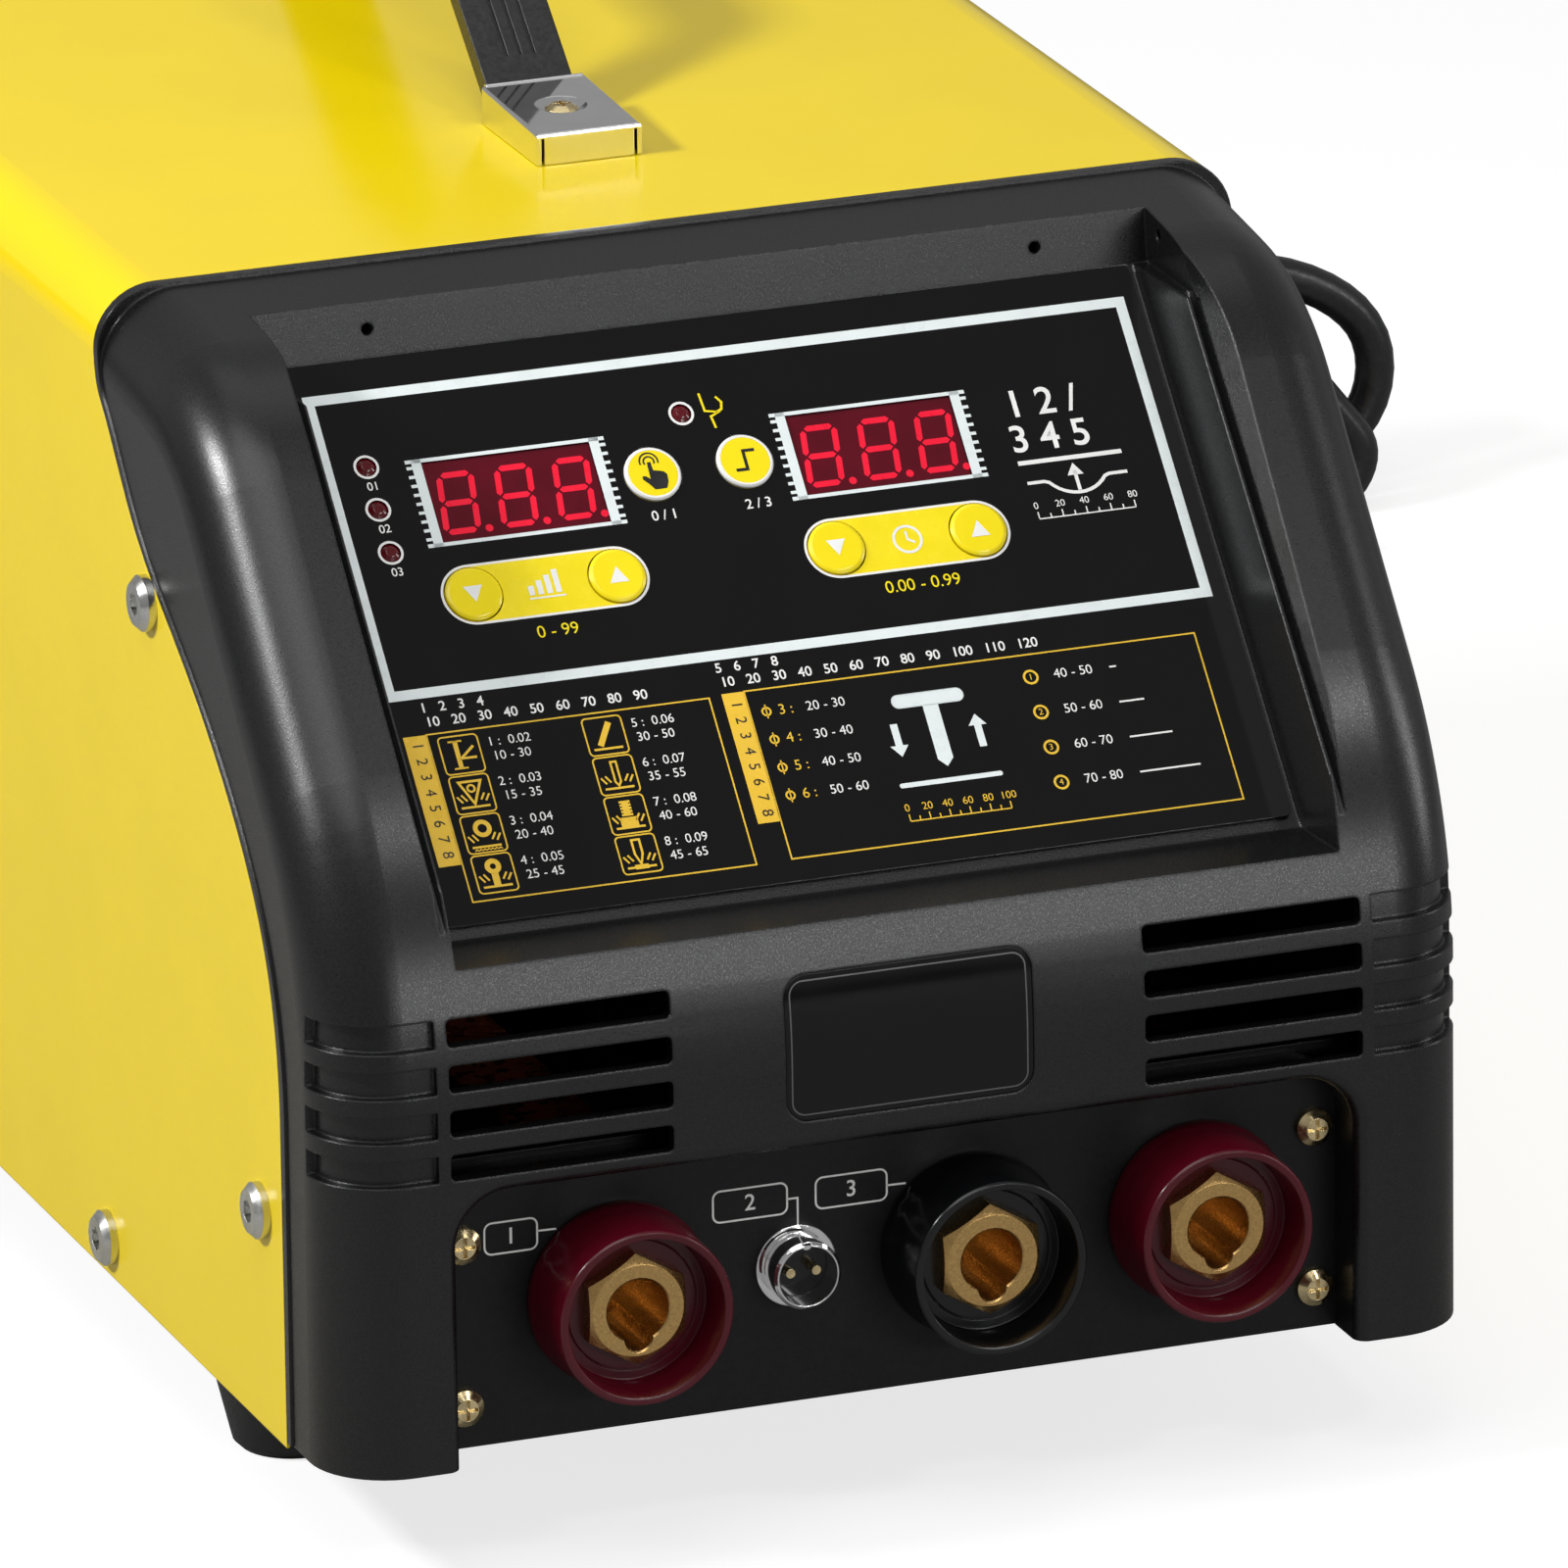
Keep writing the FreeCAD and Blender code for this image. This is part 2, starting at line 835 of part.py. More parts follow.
def opening_form(grow):
    """The lower opening, open at the bottom, grown by a wall of grow."""
    half = opening_half + grow
    low = fascia_bottom - overrun
    corners = [
        (V(-half, -overrun, low), 0),
        (V(half, -overrun, low), 0),
        (V(half, -overrun, opening_top + grow), opening_corner + grow),
        (V(-half, -overrun, opening_top + grow), opening_corner + grow),
    ]
    return plate(corners, V(0, overrun, 0))


def front_pan_half():
    return half_width - sheet - seat_gap * 2 - tongue_wall


def round_opening_edge(body):
    """Round the edge where the opening's walls meet the fascia's front."""
    chosen = []
    for edge in body.Edges:
        bounds = edge.BoundBox
        flat = bounds.YLength < seat_gap and abs(bounds.YMin - fascia_front) < seat_gap
        inside = bounds.XMax < opening_half + seat_gap and bounds.XMin > -opening_half - seat_gap
        if flat and inside and bounds.ZMax < opening_top + seat_gap:
            if bounds.ZMax > fascia_bottom + seat_gap:
                chosen.append(edge)
    return body.makeFillet(opening_round, chosen)


def make_front_fascia():
    outer = fascia_solid(0)
    inner = fascia_solid(fascia_wall)
    in_front = band_behind(0, body_back, body_bottom - overrun, cover_top + overrun, body_width)
    skin = round_opening_edge(outer.cut(opening_form(0)))
    well_half = front_pan_half() + seat_gap
    well = block(-well_half, well_half, 0, body_back, fascia_bottom - overrun,
                 fascia_bottom + fascia_wall)
    shell = skin.cut(inner).cut(in_front).cut(well)
    walls = pocket_form(pocket_wall).fuse(opening_form(opening_wall))
    walls = walls.common(skin).cut(in_front)
    body = shell.fuse(walls)
    lip = case_section(0, -overrun, body_back, fascia_bottom)
    lip = lip.cut(case_section(fascia_wall, -overrun * 2, body_back, fascia_bottom - overrun))
    lip = lip.common(band_behind(-lip_width, body_back, body_bottom, cover_top + overrun, body_width))
    lip = lip.cut(in_front)
    tongue_inset = sheet + seat_gap
    tongue = case_section(tongue_inset, 0, body_back, fascia_bottom)
    tongue_hollow = case_section(tongue_inset + tongue_wall, -overrun, body_back, body_bottom - overrun)
    tongue = tongue.cut(tongue_hollow)
    tongue = tongue.common(band_behind(-lip_width, body_back, body_bottom, cover_top, body_width))
    beyond = band_behind(tongue_depth, body_back * 2, body_bottom - overrun, cover_top + overrun, body_width)
    tongue = tongue.cut(beyond)
    body = body.fuse(lip).fuse(tongue)
    body = body.cut(pocket_form(0))
    body = body.cut(slot_cutters())
    body = body.cut(blind_slots(outer))
    body = body.cut(plate_form(outer, 0, plate_recess, 0))
    body = body.cut(panel_cutters())
    for side in (-1, 1):
        for y, z in fascia_screw_places():
            base = V(side * (half_width - overrun), y, z)
            body = body.cut(rod(base, AXIS_X * side, cover_shank, overrun * 2))
    return body.cut(brow_holes())


def slot_cutters():
    cutters = []
    for side in (-1, 1):
        x0, x1 = sorted((side * slot_inner, side * slot_outer))
        for z in slot_levels():
            cutters.append(rounded_rectangle(x0, x1, z, z + slot_height, slot_corner,
                                             -overrun, 0))
    return Part.makeCompound(cutters)


def blind_slots(outer):
    """Shallow slots that wrap round the cheeks' outer corners."""
    skin = outer.cut(fascia_solid(blind_depth))
    cutters = []
    for side in (-1, 1):
        x0, x1 = sorted((side * blind_inner, side * (half_width + overrun)))
        for z in slot_levels():
            box = block(x0, x1, -overrun, blind_back, z, z + slot_height)
            cutters.append(skin.common(box))
    return Part.makeCompound(cutters)


def plate_form(outer, top, bottom, gap):
    """A skin of the fascia's front between two depths, as large as the nameplate less gap."""
    half = plate_width / 2 - gap
    window = rounded_rectangle(-half, half, plate_bottom + gap, plate_bottom + plate_height - gap,
                               plate_corner - gap, -overrun, 0)
    skin = window.common(outer if top == 0 else fascia_solid(top))
    return skin.cut(fascia_solid(bottom))


def panel_cutters():
    """Holes through the pocket's floor for stems, displays and lamps."""
    cutters = []
    floor = -membrane_thick
    for across, down in key_places.values():
        cutters.append(rod(V(across, -down, -overrun / 2), AXIS_Z, key_stem + key_gap, overrun))
        base = V(across, -down, floor - key_counterbore)
        cutters.append(rod(base, AXIS_Z, key_radius + key_gap, overrun / 2))
    for across, down in display_places:
        x = display_width / 2 + seat_gap
        y = display_height / 2 + seat_gap
        cutters.append(block(across - x, across + x, -down - y, -down + y, -overrun / 2, overrun / 2))
    for across, down in lamp_places:
        cutters.append(rod(V(across, -down, -overrun / 2), AXIS_Z, lamp_radius + seat_gap, overrun))
    return on_panel(Part.makeCompound(cutters))


# Control panel pieces

def make_control_membrane():
    half = membrane_half
    corners = [V(-half, -membrane_below, -membrane_thick), V(half, -membrane_below, -membrane_thick),
               V(half, membrane_above, -membrane_thick), V(-half, membrane_above, -membrane_thick)]
    sheet_form = plate([(corner, membrane_corner) for corner in corners], V(0, 0, membrane_thick))
    for across, down in key_places.values():
        base = V(across, -down, -overrun / 2)
        sheet_form = sheet_form.cut(rod(base, AXIS_Z, key_radius + key_gap, overrun))
    for across, down in display_places:
        x = display_width / 2 + seat_gap
        y = display_height / 2 + seat_gap
        window = block(across - x, across + x, -down - y, -down + y, -overrun / 2, overrun / 2)
        sheet_form = sheet_form.cut(window)
    for across, down in lamp_places:
        base = V(across, -down, -overrun / 2)
        sheet_form = sheet_form.cut(rod(base, AXIS_Z, lamp_radius + seat_gap, overrun))
    return on_panel(sheet_form)


def make_key(across, down):
    profile = [(0, -key_stem_end), (key_stem, -key_stem_end), (key_stem, -key_foot),
               (key_radius, -key_foot), (key_radius, key_proud - key_edge),
               (key_radius - key_edge * 2, key_proud), (0, key_proud)]
    return on_panel(turned(profile, V(across, -down, 0), AXIS_Z))


def make_display(across, down):
    x = display_width / 2
    y = display_height / 2
    return on_panel(block(across - x, across + x, -down - y, -down + y, -board_depth, -display_sunk))


def make_lamps():
    lamps = []
    flange_top = -membrane_thick - pocket_wall
    for across, down in lamp_places:
        profile = [(0, -board_depth), (lamp_flange, -board_depth), (lamp_flange, flange_top),
                   (lamp_radius, flange_top), (lamp_radius, -lamp_sunk),
                   (lamp_radius / 2, lamp_dome - lamp_sunk), (0, lamp_dome - lamp_sunk)]
        lamps.append(on_panel(turned(profile, V(across, -down, 0), AXIS_Z)))
    return lamps


def board_corner_places():
    for across in (board_left + board_inset, board_right - board_inset):
        for down in (board_top + board_inset, board_low - board_inset):
            yield across, down


def make_control_board():
    top = -board_depth
    board = block(board_left, board_right, -board_low, -board_top, top - board_thick, top)
    chip_side = board_inset * 3
    middle = (board_left + board_right) / 2
    chip = block(middle, middle + chip_side, -board_low + board_inset, -board_low + board_inset * 3,
                 top - board_thick * 2, top - board_thick)
    plug = block(middle - chip_side * 2, middle - chip_side, -board_low + board_inset,
                 -board_low + board_inset * 2, top - board_thick - board_inset, top - board_thick)
    board = board.fuse(chip).fuse(plug)
    for across, down in board_corner_places():
        base = V(across, -down, top - overrun / 2)
        board = board.cut(rod(base, AXIS_Z, standoff_bore, overrun))
    return on_panel(board)


def make_key_switches():
    switches = []
    half = switch_side / 2
    top = switch_height - board_depth
    for across, down in key_places.values():
        body = block(across - half, across + half, -down - half, -down + half, -board_depth, top)
        plunger = rod(V(across, -down, top), AXIS_Z, switch_plunger, switch_plunger_height)
        switches.append(on_panel(body.fuse(plunger)))
    return switches


def make_board_standoffs():
    floor = -membrane_thick - pocket_wall
    length = board_depth + floor
    posts = []
    for across, down in board_corner_places():
        base = V(across, -down, -board_depth)
        posts.append(on_panel(pipe(base, AXIS_Z, standoff_radius, standoff_bore, length)))
    return posts


def make_board_screws():
    screws = []
    seat_z = -board_depth - board_thick
    for across, down in board_corner_places():
        seat = V(across, -down, seat_z)
        head = rod(seat, DOWN, small_head_radius, small_head_height)
        shank = rod(seat, AXIS_Z, standoff_bore, small_screw_length)
        screws.append(on_panel(head.fuse(shank)))
    return screws


def make_nameplate():
    return plate_form(None, plate_sunk, plate_recess, seat_gap)


# Connector panel and what it carries

def socket_centre(x, y=0.0):
    return V(x, y, socket_z)


def make_connector_panel():
    panel = block(-panel_half, panel_half, 0, panel_thick, panel_bottom, panel_top)
    flange = block(-pan_ear_inner + panel_thick, pan_ear_inner - panel_thick, 0, panel_flange,
                   panel_top - panel_thick, panel_top)
    panel = panel.fuse(flange)
    for x in socket_places.values():
        panel = panel.cut(rod(socket_centre(x, -overrun), AXIS_Y, socket_neck, overrun * 2))
    link = V(link_x, -overrun, link_z)
    panel = panel.cut(rod(link, AXIS_Y, link_thread, overrun * 2))
    for seat in panel_screw_seats():
        panel = panel.cut(rod(seat + FRONT * overrun, AXIS_Y, panel_screw_shank, overrun * 2))
    return panel


def panel_screw_seats():
    return [V(side * panel_screw_x, 0, z)
            for side in (-1, 1) for z in (panel_screw_low, panel_screw_high)]


def make_socket_housing(x):
    outer = socket_radius
    inner = outer - socket_rim
    edge = socket_rim_round
    hex_corner = hexagon_corner(insert_flats) + seat_gap
    profile = [
        (hex_corner, panel_thick + socket_neck_length),
        (socket_neck, panel_thick + socket_neck_length),
        (socket_neck, 0),
        (socket_base_radius, 0),
        (socket_base_radius, -socket_rim),
        (outer, -socket_rim * 2),
        (outer, -socket_reach + edge),
        (outer - edge, -socket_reach),
        (inner + edge, -socket_reach),
        (inner, -socket_reach + edge),
        (inner - edge, -socket_floor),
        (socket_step_radius, -socket_floor),
        (socket_step_radius, -socket_step_floor),
        (hex_corner, -socket_step_floor),
    ]
    housing = turned(profile, socket_centre(x))
    fill = rod(socket_centre(x, -socket_step_floor), AXIS_Y, hex_corner + seat_gap,
               socket_step_floor + panel_thick + socket_neck_length)
    housing = housing.fuse(fill)
    hole = hexagon(socket_centre(x, -overrun), insert_flats + seat_gap, AXIS_Y, overrun * 3)
    return housing.cut(hole)


def make_socket_clamp(x):
    """The ring behind the panel that clamps the housing."""
    base = socket_centre(x, panel_thick)
    return pipe(base, AXIS_Y, socket_back_radius, socket_neck, socket_back_length)


def make_socket_insert(x):
    face = -insert_face
    end = panel_thick + socket_neck_length
    shape = hexagon(socket_centre(x, face), insert_flats, AXIS_Y, end - face)
    corner = hexagon_corner(insert_flats)
    cone = turned([(0, face), (insert_flats / 2, face), (corner, face + insert_chamfer * 2),
                   (corner, end), (0, end)], socket_centre(x))
    shape = shape.common(cone)
    shape = shape.fuse(rod(socket_centre(x, end), AXIS_Y, insert_stud, insert_end - end))
    shape = shape.cut(rod(socket_centre(x, face), AXIS_Y, insert_bore, insert_bore_depth))
    slot = rod(socket_centre(x, face) + DOWN * key_slot_drop, AXIS_Y, key_slot_radius,
               insert_bore_depth)
    return shape.cut(slot)


def make_socket_nut(x):
    base = socket_centre(x, panel_thick + socket_neck_length + bar_thick)
    nut = hexagon(base, nut_flats, AXIS_Y, nut_thick)
    return nut.cut(rod(base, AXIS_Y, insert_stud, nut_thick))


def make_link_shell():
    """The two-pin connector's plated shell, with its grooved front ring."""
    centre = V(link_x, 0, link_z)
    groove = link_collar_gap / 2
    ring_back = -link_reach + link_ring_length
    profile = [
        (link_bore, link_back),
        (link_thread, link_back),
        (link_thread, 0),
        (link_flange, 0),
        (link_flange, -link_flange_thick),
        (link_thread, -link_flange_thick),
        (link_thread, ring_back + groove),
        (link_ring, ring_back),
        (link_ring, -link_reach + groove),
        (link_ring - groove, -link_reach),
        (link_bore, -link_reach),
    ]
    shell = turned(profile, centre)
    notch = block(link_x - groove, link_x + groove, -link_reach, -link_reach + link_ring_length,
                  link_z + link_bore - groove, link_z + link_bore + groove)
    return shell.cut(notch)


def link_pin_places():
    return [link_x - link_pin_gap, link_x + link_pin_gap]


def make_link_core():
    base = V(link_x, -link_reach + link_core_sunk, link_z)
    core = rod(base, AXIS_Y, link_bore, link_reach - link_core_sunk + link_back)
    for x in link_pin_places():
        core = core.cut(rod(V(x, -overrun, link_z), AXIS_Y, link_pin_radius, overrun * 2))
    return core


def make_link_pins():
    start = -link_reach + link_core_sunk - link_pin_proud
    length = link_back - start + link_pin_gap
    return [rod(V(x, start, link_z), AXIS_Y, link_pin_radius, length) for x in link_pin_places()]


def make_link_nut():
    base = V(link_x, panel_thick, link_z)
    nut = hexagon(base, link_nut_flats, AXIS_Y, link_nut_thick)
    return nut.cut(rod(base, AXIS_Y, link_thread, link_nut_thick))


# Chassis pan, rear panel and feet

def pan_half():
    return half_width - sheet - seat_gap


def foot_places():
    return [(side * foot_x, y) for side in (-1, 1)
            for y in (foot_front_y, body_back - foot_rear_inset)]


def make_chassis_pan():
    half = pan_half()
    low = body_bottom
    back = body_back - sheet - seat_gap
    start = flank_front + tongue_depth + pan_thick
    pan = block(-half, half, start, back, low, low + pan_thick)
    narrow = front_pan_half()
    pan = pan.fuse(block(-narrow, narrow, panel_thick, start, low + pan_thick, low + pan_thick * 2))
    step = block(-narrow, narrow, start, start + pan_thick, low, low + pan_thick * 2)
    pan = pan.fuse(step)
    for side in (-1, 1):
        x0, x1 = sorted((side * half, side * (half - pan_thick)))
        pan = pan.fuse(block(x0, x1, pan_flange_start, back, low, low + pan_flange))
        x0, x1 = sorted((side * pan_ear_inner, side * pan_ear_outer))
        pan = pan.fuse(block(x0, x1, panel_thick, panel_thick * 2, low + pan_thick, panel_top))
        for y in (pan_screw_front, pan_screw_rear):
            base = V(side * (half_width - overrun), y, pan_screw_z)
            pan = pan.cut(rod(base, AXIS_X * side, cover_shank, overrun * 2))
    for seat in panel_screw_seats():
        pan = pan.cut(rod(seat + FRONT * overrun, AXIS_Y, panel_screw_shank, overrun * 2))
    for x, y in foot_places():
        pan = pan.cut(rod(V(x, y, low - overrun), AXIS_Z, foot_screw_shank, overrun * 2))
    return pan


def make_rubber_feet():
    feet = []
    edge = foot_round
    for x, y in foot_places():
        profile = [
            (foot_screw_shank, body_bottom),
            (foot_top_radius, body_bottom),
            (foot_top_radius, body_bottom - edge * 2),
            (foot_low_radius, edge),
            (foot_low_radius - edge, 0),
            (foot_recess_radius, 0),
            (foot_recess_radius, foot_recess_depth),
            (foot_screw_shank, foot_recess_depth),
        ]
        feet.append(turned(profile, V(x, y, 0), AXIS_Z))
    return feet


def make_foot_screws():
    screws = []
    top = body_bottom + pan_thick
    for x, y in foot_places():
        seat = V(x, y, foot_recess_depth)
        head = rod(seat, DOWN, foot_head_radius, foot_head_height)
        shank = rod(seat, AXIS_Z, foot_screw_shank, top + foot_nut_height - foot_recess_depth)
        nut = hexagon(V(x, y, top), foot_head_radius * 1.7, AXIS_Z, foot_nut_height)
        screws.append(head.fuse(shank).fuse(nut))
    return screws


def rear_front():
    return body_back - sheet


def make_rear_panel():
    half = pan_half()
    low = body_bottom + seat_gap
    top_inset = sheet + seat_gap
    panel = case_section(top_inset, rear_front(), body_back, low)
    flange = case_section(top_inset, body_back - rear_flange, body_back, body_bottom + pan_flange)
    hollow = case_section(top_inset + sheet, body_back - rear_flange - overrun, body_back,
                          body_bottom - overrun)
    panel = panel.fuse(flange.cut(hollow))
    corner = rounded_rectangle(fan_x - fan_bore, fan_x + fan_bore, fan_z - fan_bore,
                               fan_z + fan_bore, fan_bore * 0.98, 0, body_back + overrun)
    panel = panel.cut(corner)
    for x, z in fan_screw_places():
        panel = panel.cut(rod(V(x, rear_front() - overrun, z), AXIS_Y, rear_screw_shank, overrun * 2))
    x = power_width / 2
    z = power_height / 2
    panel = panel.cut(block(power_x - x, power_x + x, rear_front() - overrun, body_back + overrun,
                            power_z - z, power_z + z))
    for x, z, radius in ((fuse_x, fuse_z, fuse_radius), (gland_x, gland_z, gland_thread)):
        panel = panel.cut(rod(V(x, rear_front() - overrun, z), AXIS_Y, radius, overrun * 2))
    for i in range(vent_count):
        z = vent_z + i * vent_pitch
        panel = panel.cut(rounded_rectangle(fan_x - vent_width / 2, fan_x + vent_width / 2, z,
                                            z + vent_height, vent_height * 0.49,
                                            rear_front() - overrun, body_back + overrun))
    for side in (-1, 1):
        for z in (side_screw_high, side_screw_low):
            base = V(side * (half - overrun), body_back - rear_screw_inset, z)
            panel = panel.cut(rod(base, AXIS_X * side, cover_shank, overrun * 2))
    return panel


def make_cover_screws():
    screws = []
    for side in (-1, 1):
        axis = AXIS_X * side
        for y, z in cover_screw_places():
            seat = V(side * half_width, y, z)
            profile = [(0, 0), (cover_head_radius, 0),
                       (cover_head_radius, cover_head_height - cover_head_taper),
                       (cover_head_radius - cover_head_taper, cover_head_height),
                       (0, cover_head_height)]
            screw = turned(profile, seat, axis)
            screw = screw.fuse(rod(seat, -axis, cover_shank, cover_screw_length))
            socket = hexagon(seat + axis * (cover_head_height - cover_hex_depth),
                             cover_hex_recess * 2, axis, overrun)
            screws.append(screw.cut(socket))
    return screws


# Carrying handle

def strap_path(lift):
    """The strap's middle line, lift above its own middle, from the front cap to the rear."""
    level = cover_top + seat_gap + strap_thick / 2
    slope = math.radians(strap_slope)
    run = strap_rise / math.tan(slope)
    front = handle_front - cap_length / 2 + cap_sheet * 2
    rear = handle_front * 2 + handle_span - front
    bend_front = handle_front + cap_length / 2 - strap_clear
    bend_rear = handle_front * 2 + handle_span - bend_front
    crown = strap_crown_share * (bend_rear - bend_front - run * 2) / math.tan(slope / 2)
    points = [
        (V(0, front, level), 0),
        (V(0, bend_front, level), strap_bend),
        (V(0, bend_front + run, level + strap_rise), crown),
        (V(0, bend_rear - run, level + strap_rise), crown),
        (V(0, bend_rear, level), strap_bend),
        (V(0, rear, level), 0),
    ]
    half = slope / 2
    shifted = []
    for i, (point, radius) in enumerate(points):
        if radius == 0:
            shifted.append((point + AXIS_Z * lift, 0))
            continue
        on_crown = i in (2, 3)
        side = -1 if i in (1, 2) else 1
        along = lift * math.tan(half) * side
        across = V(0, along, lift)
        shifted.append((point + across, radius + (lift if on_crown else -lift)))
    return shifted


def strap_form(width, thick):
    upper = strap_path(thick / 2)
    lower = strap_path(-thick / 2)
    wire_up = outline_edges(upper, closed=False)
    wire_low = outline_edges(lower, closed=False)
    joins = [
        Part.LineSegment(upper[0][0], lower[0][0]).toShape(),
        Part.LineSegment(upper[-1][0], lower[-1][0]).toShape(),
    ]
    wire = Part.Wire(Part.__sortEdges__(wire_up + wire_low + joins))
    face = Part.Face(wire)
    face.translate(V(-width / 2, 0, 0))
    return face.extrude(V(width, 0, 0))


def make_handle_strap():
    strap = strap_form(strap_width, strap_thick)
    strap = strap.cut(strap_form(strip_width, strip_thick))
    groove_top = strap_form(strap_width, strap_thick).cut(
        strap_form(strap_width, strap_thick - strap_groove * 2))
    clear = (handle_front + cap_length / 2 + strap_bend, handle_front + handle_span
             - cap_length / 2 - strap_bend)
    for share in (-0.16, 0.0, 0.16):
        x = share * strap_width
        lane = block(x - strap_groove / 2, x + strap_groove / 2, clear[0], clear[1],
                     cover_top + strap_thick, cover_top + strap_rise * 2)
        strap = strap.cut(groove_top.common(lane))
    for y in handle_places():
        base = V(0, y, cover_top - overrun)
        strap = strap.cut(rod(base, AXIS_Z, handle_screw_shank + seat_gap, overrun * 2))
    return strap


def make_handle_strip():
    strip = strap_form(strip_width, strip_thick)
    for y in handle_places():
        base = V(0, y, cover_top - overrun)
        strip = strip.cut(rod(base, AXIS_Z, handle_screw_shank + seat_gap, overrun * 2))
    return strip


def make_handle_caps():
    """Folded caps, taller at their open end, with a dished screw seat and a rolled lip."""
    half = cap_width / 2
    low = cover_top + seat_gap
    front = -cap_length / 2
    rear = cap_length / 2
    top_front = cover_top + cap_height
    top_rear = cover_top + cap_rear_height

    def wedge(inset, open_end):
        z_front = top_front - inset
        z_rear = top_rear - inset
        base = low - (overrun if inset else 0)
        points = [V(-half + inset, front + inset, base), V(-half + inset, rear + open_end, base),
                  V(-half + inset, rear + open_end, z_rear), V(-half + inset, front + inset, z_front)]
        return polygon(points, V(cap_width - inset * 2, 0, 0))

    cap = wedge(0, 0)
    top_edges = [edge for edge in cap.Edges if edge.BoundBox.ZMin > cover_top + cap_height / 2
                 and edge.BoundBox.YMin < rear - seat_gap]
    cap = cap.makeFillet(cap_round, top_edges)
    cap = cap.cut(wedge(cap_sheet, overrun))
    for side in (-1, 1):
        x0, x1 = sorted((side * (half - cap_sheet), side * (half - cap_sheet - cap_notch)))
        cap = cap.cut(block(x0, x1, front - seat_gap, front + cap_sheet + seat_gap,
                            low - overrun, top_front - cap_sheet))
    cap = cap.fuse(rod(V(-half + cap_round, rear, top_rear - cap_sheet / 2), AXIS_X, cap_lip,
                       cap_width - cap_round * 2))
    middle = (top_front + top_rear) / 2
    cap = cap.fuse(dish_form(V(0, 0, middle), cap_sheet)).cut(dish_form(V(0, 0, middle), 0))
    cap = cap.cut(rod(V(0, 0, middle), DOWN, handle_screw_shank + seat_gap, overrun))
    caps = []
    for index, y in enumerate(handle_places()):
        placed = cap.copy()
        if index == 1:
            placed.rotate(V(0, 0, 0), AXIS_Z, FULL_TURN / 2)
        placed.translate(V(0, y, 0))
        caps.append(placed)
    return caps


def dish_form(centre, grow):
    """The dished screw seat pressed into a cap, as a solid grown by the sheet's thickness."""
    floor = -cap_dimple_depth - grow
    slope = cap_dimple - cap_dimple_low
    radius = cap_dimple + grow
    lift = cap_lip
    rim = radius + slope * lift / cap_dimple_depth
    return turned([(0, floor), (cap_dimple_low + grow, floor), (radius, 0), (rim, lift), (0, lift)]
                  if grow == 0 else
                  [(0, floor), (cap_dimple_low + grow, floor), (radius, -cap_sheet / 2),
                   (0, -cap_sheet / 2)], centre, AXIS_Z)


def strap_notch(strap):
    """The dished caps press into the strap, which gives way by the dish's own form."""
    middle = cover_top + (cap_height + cap_rear_height) / 2
    for y in handle_places():
        strap = strap.cut(dish_form(V(0, y, middle), cap_sheet + seat_gap))
    return strap


def make_handle_screws():
    screws = []
    for y in handle_places():
        middle = cover_top + (cap_height + cap_rear_height) / 2
        seat = V(0, y, middle - cap_dimple_depth)
        screws.append(pan_screw(seat, AXIS_Z, handle_screw_head, handle_screw_height,
                                handle_screw_shank, handle_screw_length))
    return screws


# Fan and rear fittings

def fan_screw_places():
    half = fan_screw_pitch / 2
    return [(fan_x + sx * half, fan_z + sz * half) for sx in (-1, 1) for sz in (-1, 1)]


def fan_front():
    return rear_front() - fan_depth


def make_fan_frame():
    half = fan_side / 2
    frame = rounded_rectangle(fan_x - half, fan_x + half, fan_z - half, fan_z + half, fan_corner,
                              fan_front(), rear_front())
    centre = V(fan_x, fan_front(), fan_z)
    frame = frame.cut(rod(centre, AXIS_Y, fan_bore, fan_depth))
    motor = rod(centre, AXIS_Y, fan_hub, fan_strut)
    arms = [block(fan_x - fan_strut / 2, fan_x + fan_strut / 2, fan_front(),
                  fan_front() + fan_strut, fan_z + fan_hub * 0.8, fan_z + half - fan_corner / 2)]
    arm = arms[0]
    for turn in (1, 2, 3):
        turned_arm = arm.copy()
        turned_arm.rotate(V(fan_x, 0, fan_z), AXIS_Y, turn * RIGHT_ANGLE)
        arms.append(turned_arm)
    frame = frame.fuse(motor).fuse(arms)
    axle = rod(centre, AXIS_Y, fan_axle, fan_depth - fan_strut)
    frame = frame.fuse(axle)
    for x, z in fan_screw_places():
        frame = frame.cut(rod(V(x, fan_front(), z), AXIS_Y, rear_screw_shank, fan_depth))
    return frame


def make_fan_rotor():
    start = fan_front() + fan_strut + seat_gap * 2
    centre = V(fan_x, start, fan_z)
    hub = rod(centre, AXIS_Y, fan_hub, fan_hub_depth)
    blades = []
    reach = fan_blade_tip - fan_hub + seat_gap * 6
    for i in range(fan_blade_count):
        blade = block(-fan_blade_thick / 2, fan_blade_thick / 2, -fan_blade_chord / 2,
                      fan_blade_chord / 2, 0, reach)
        blade.rotate(V(0, 0, 0), AXIS_Z, fan_blade_pitch)
        blade.translate(V(0, 0, fan_hub - seat_gap * 6))
        blade.rotate(V(0, 0, 0), AXIS_Y, i * FULL_TURN / fan_blade_count)
        blade.translate(V(fan_x, start + fan_hub_depth / 2, fan_z))
        blades.append(blade)
    rotor = hub.fuse(blades)
    limit = rod(centre, AXIS_Y, fan_blade_tip, fan_hub_depth)
    rotor = rotor.common(limit)
    return rotor.cut(rod(centre, AXIS_Y, fan_axle + fan_axle_gap, fan_depth - fan_strut * 1.4))


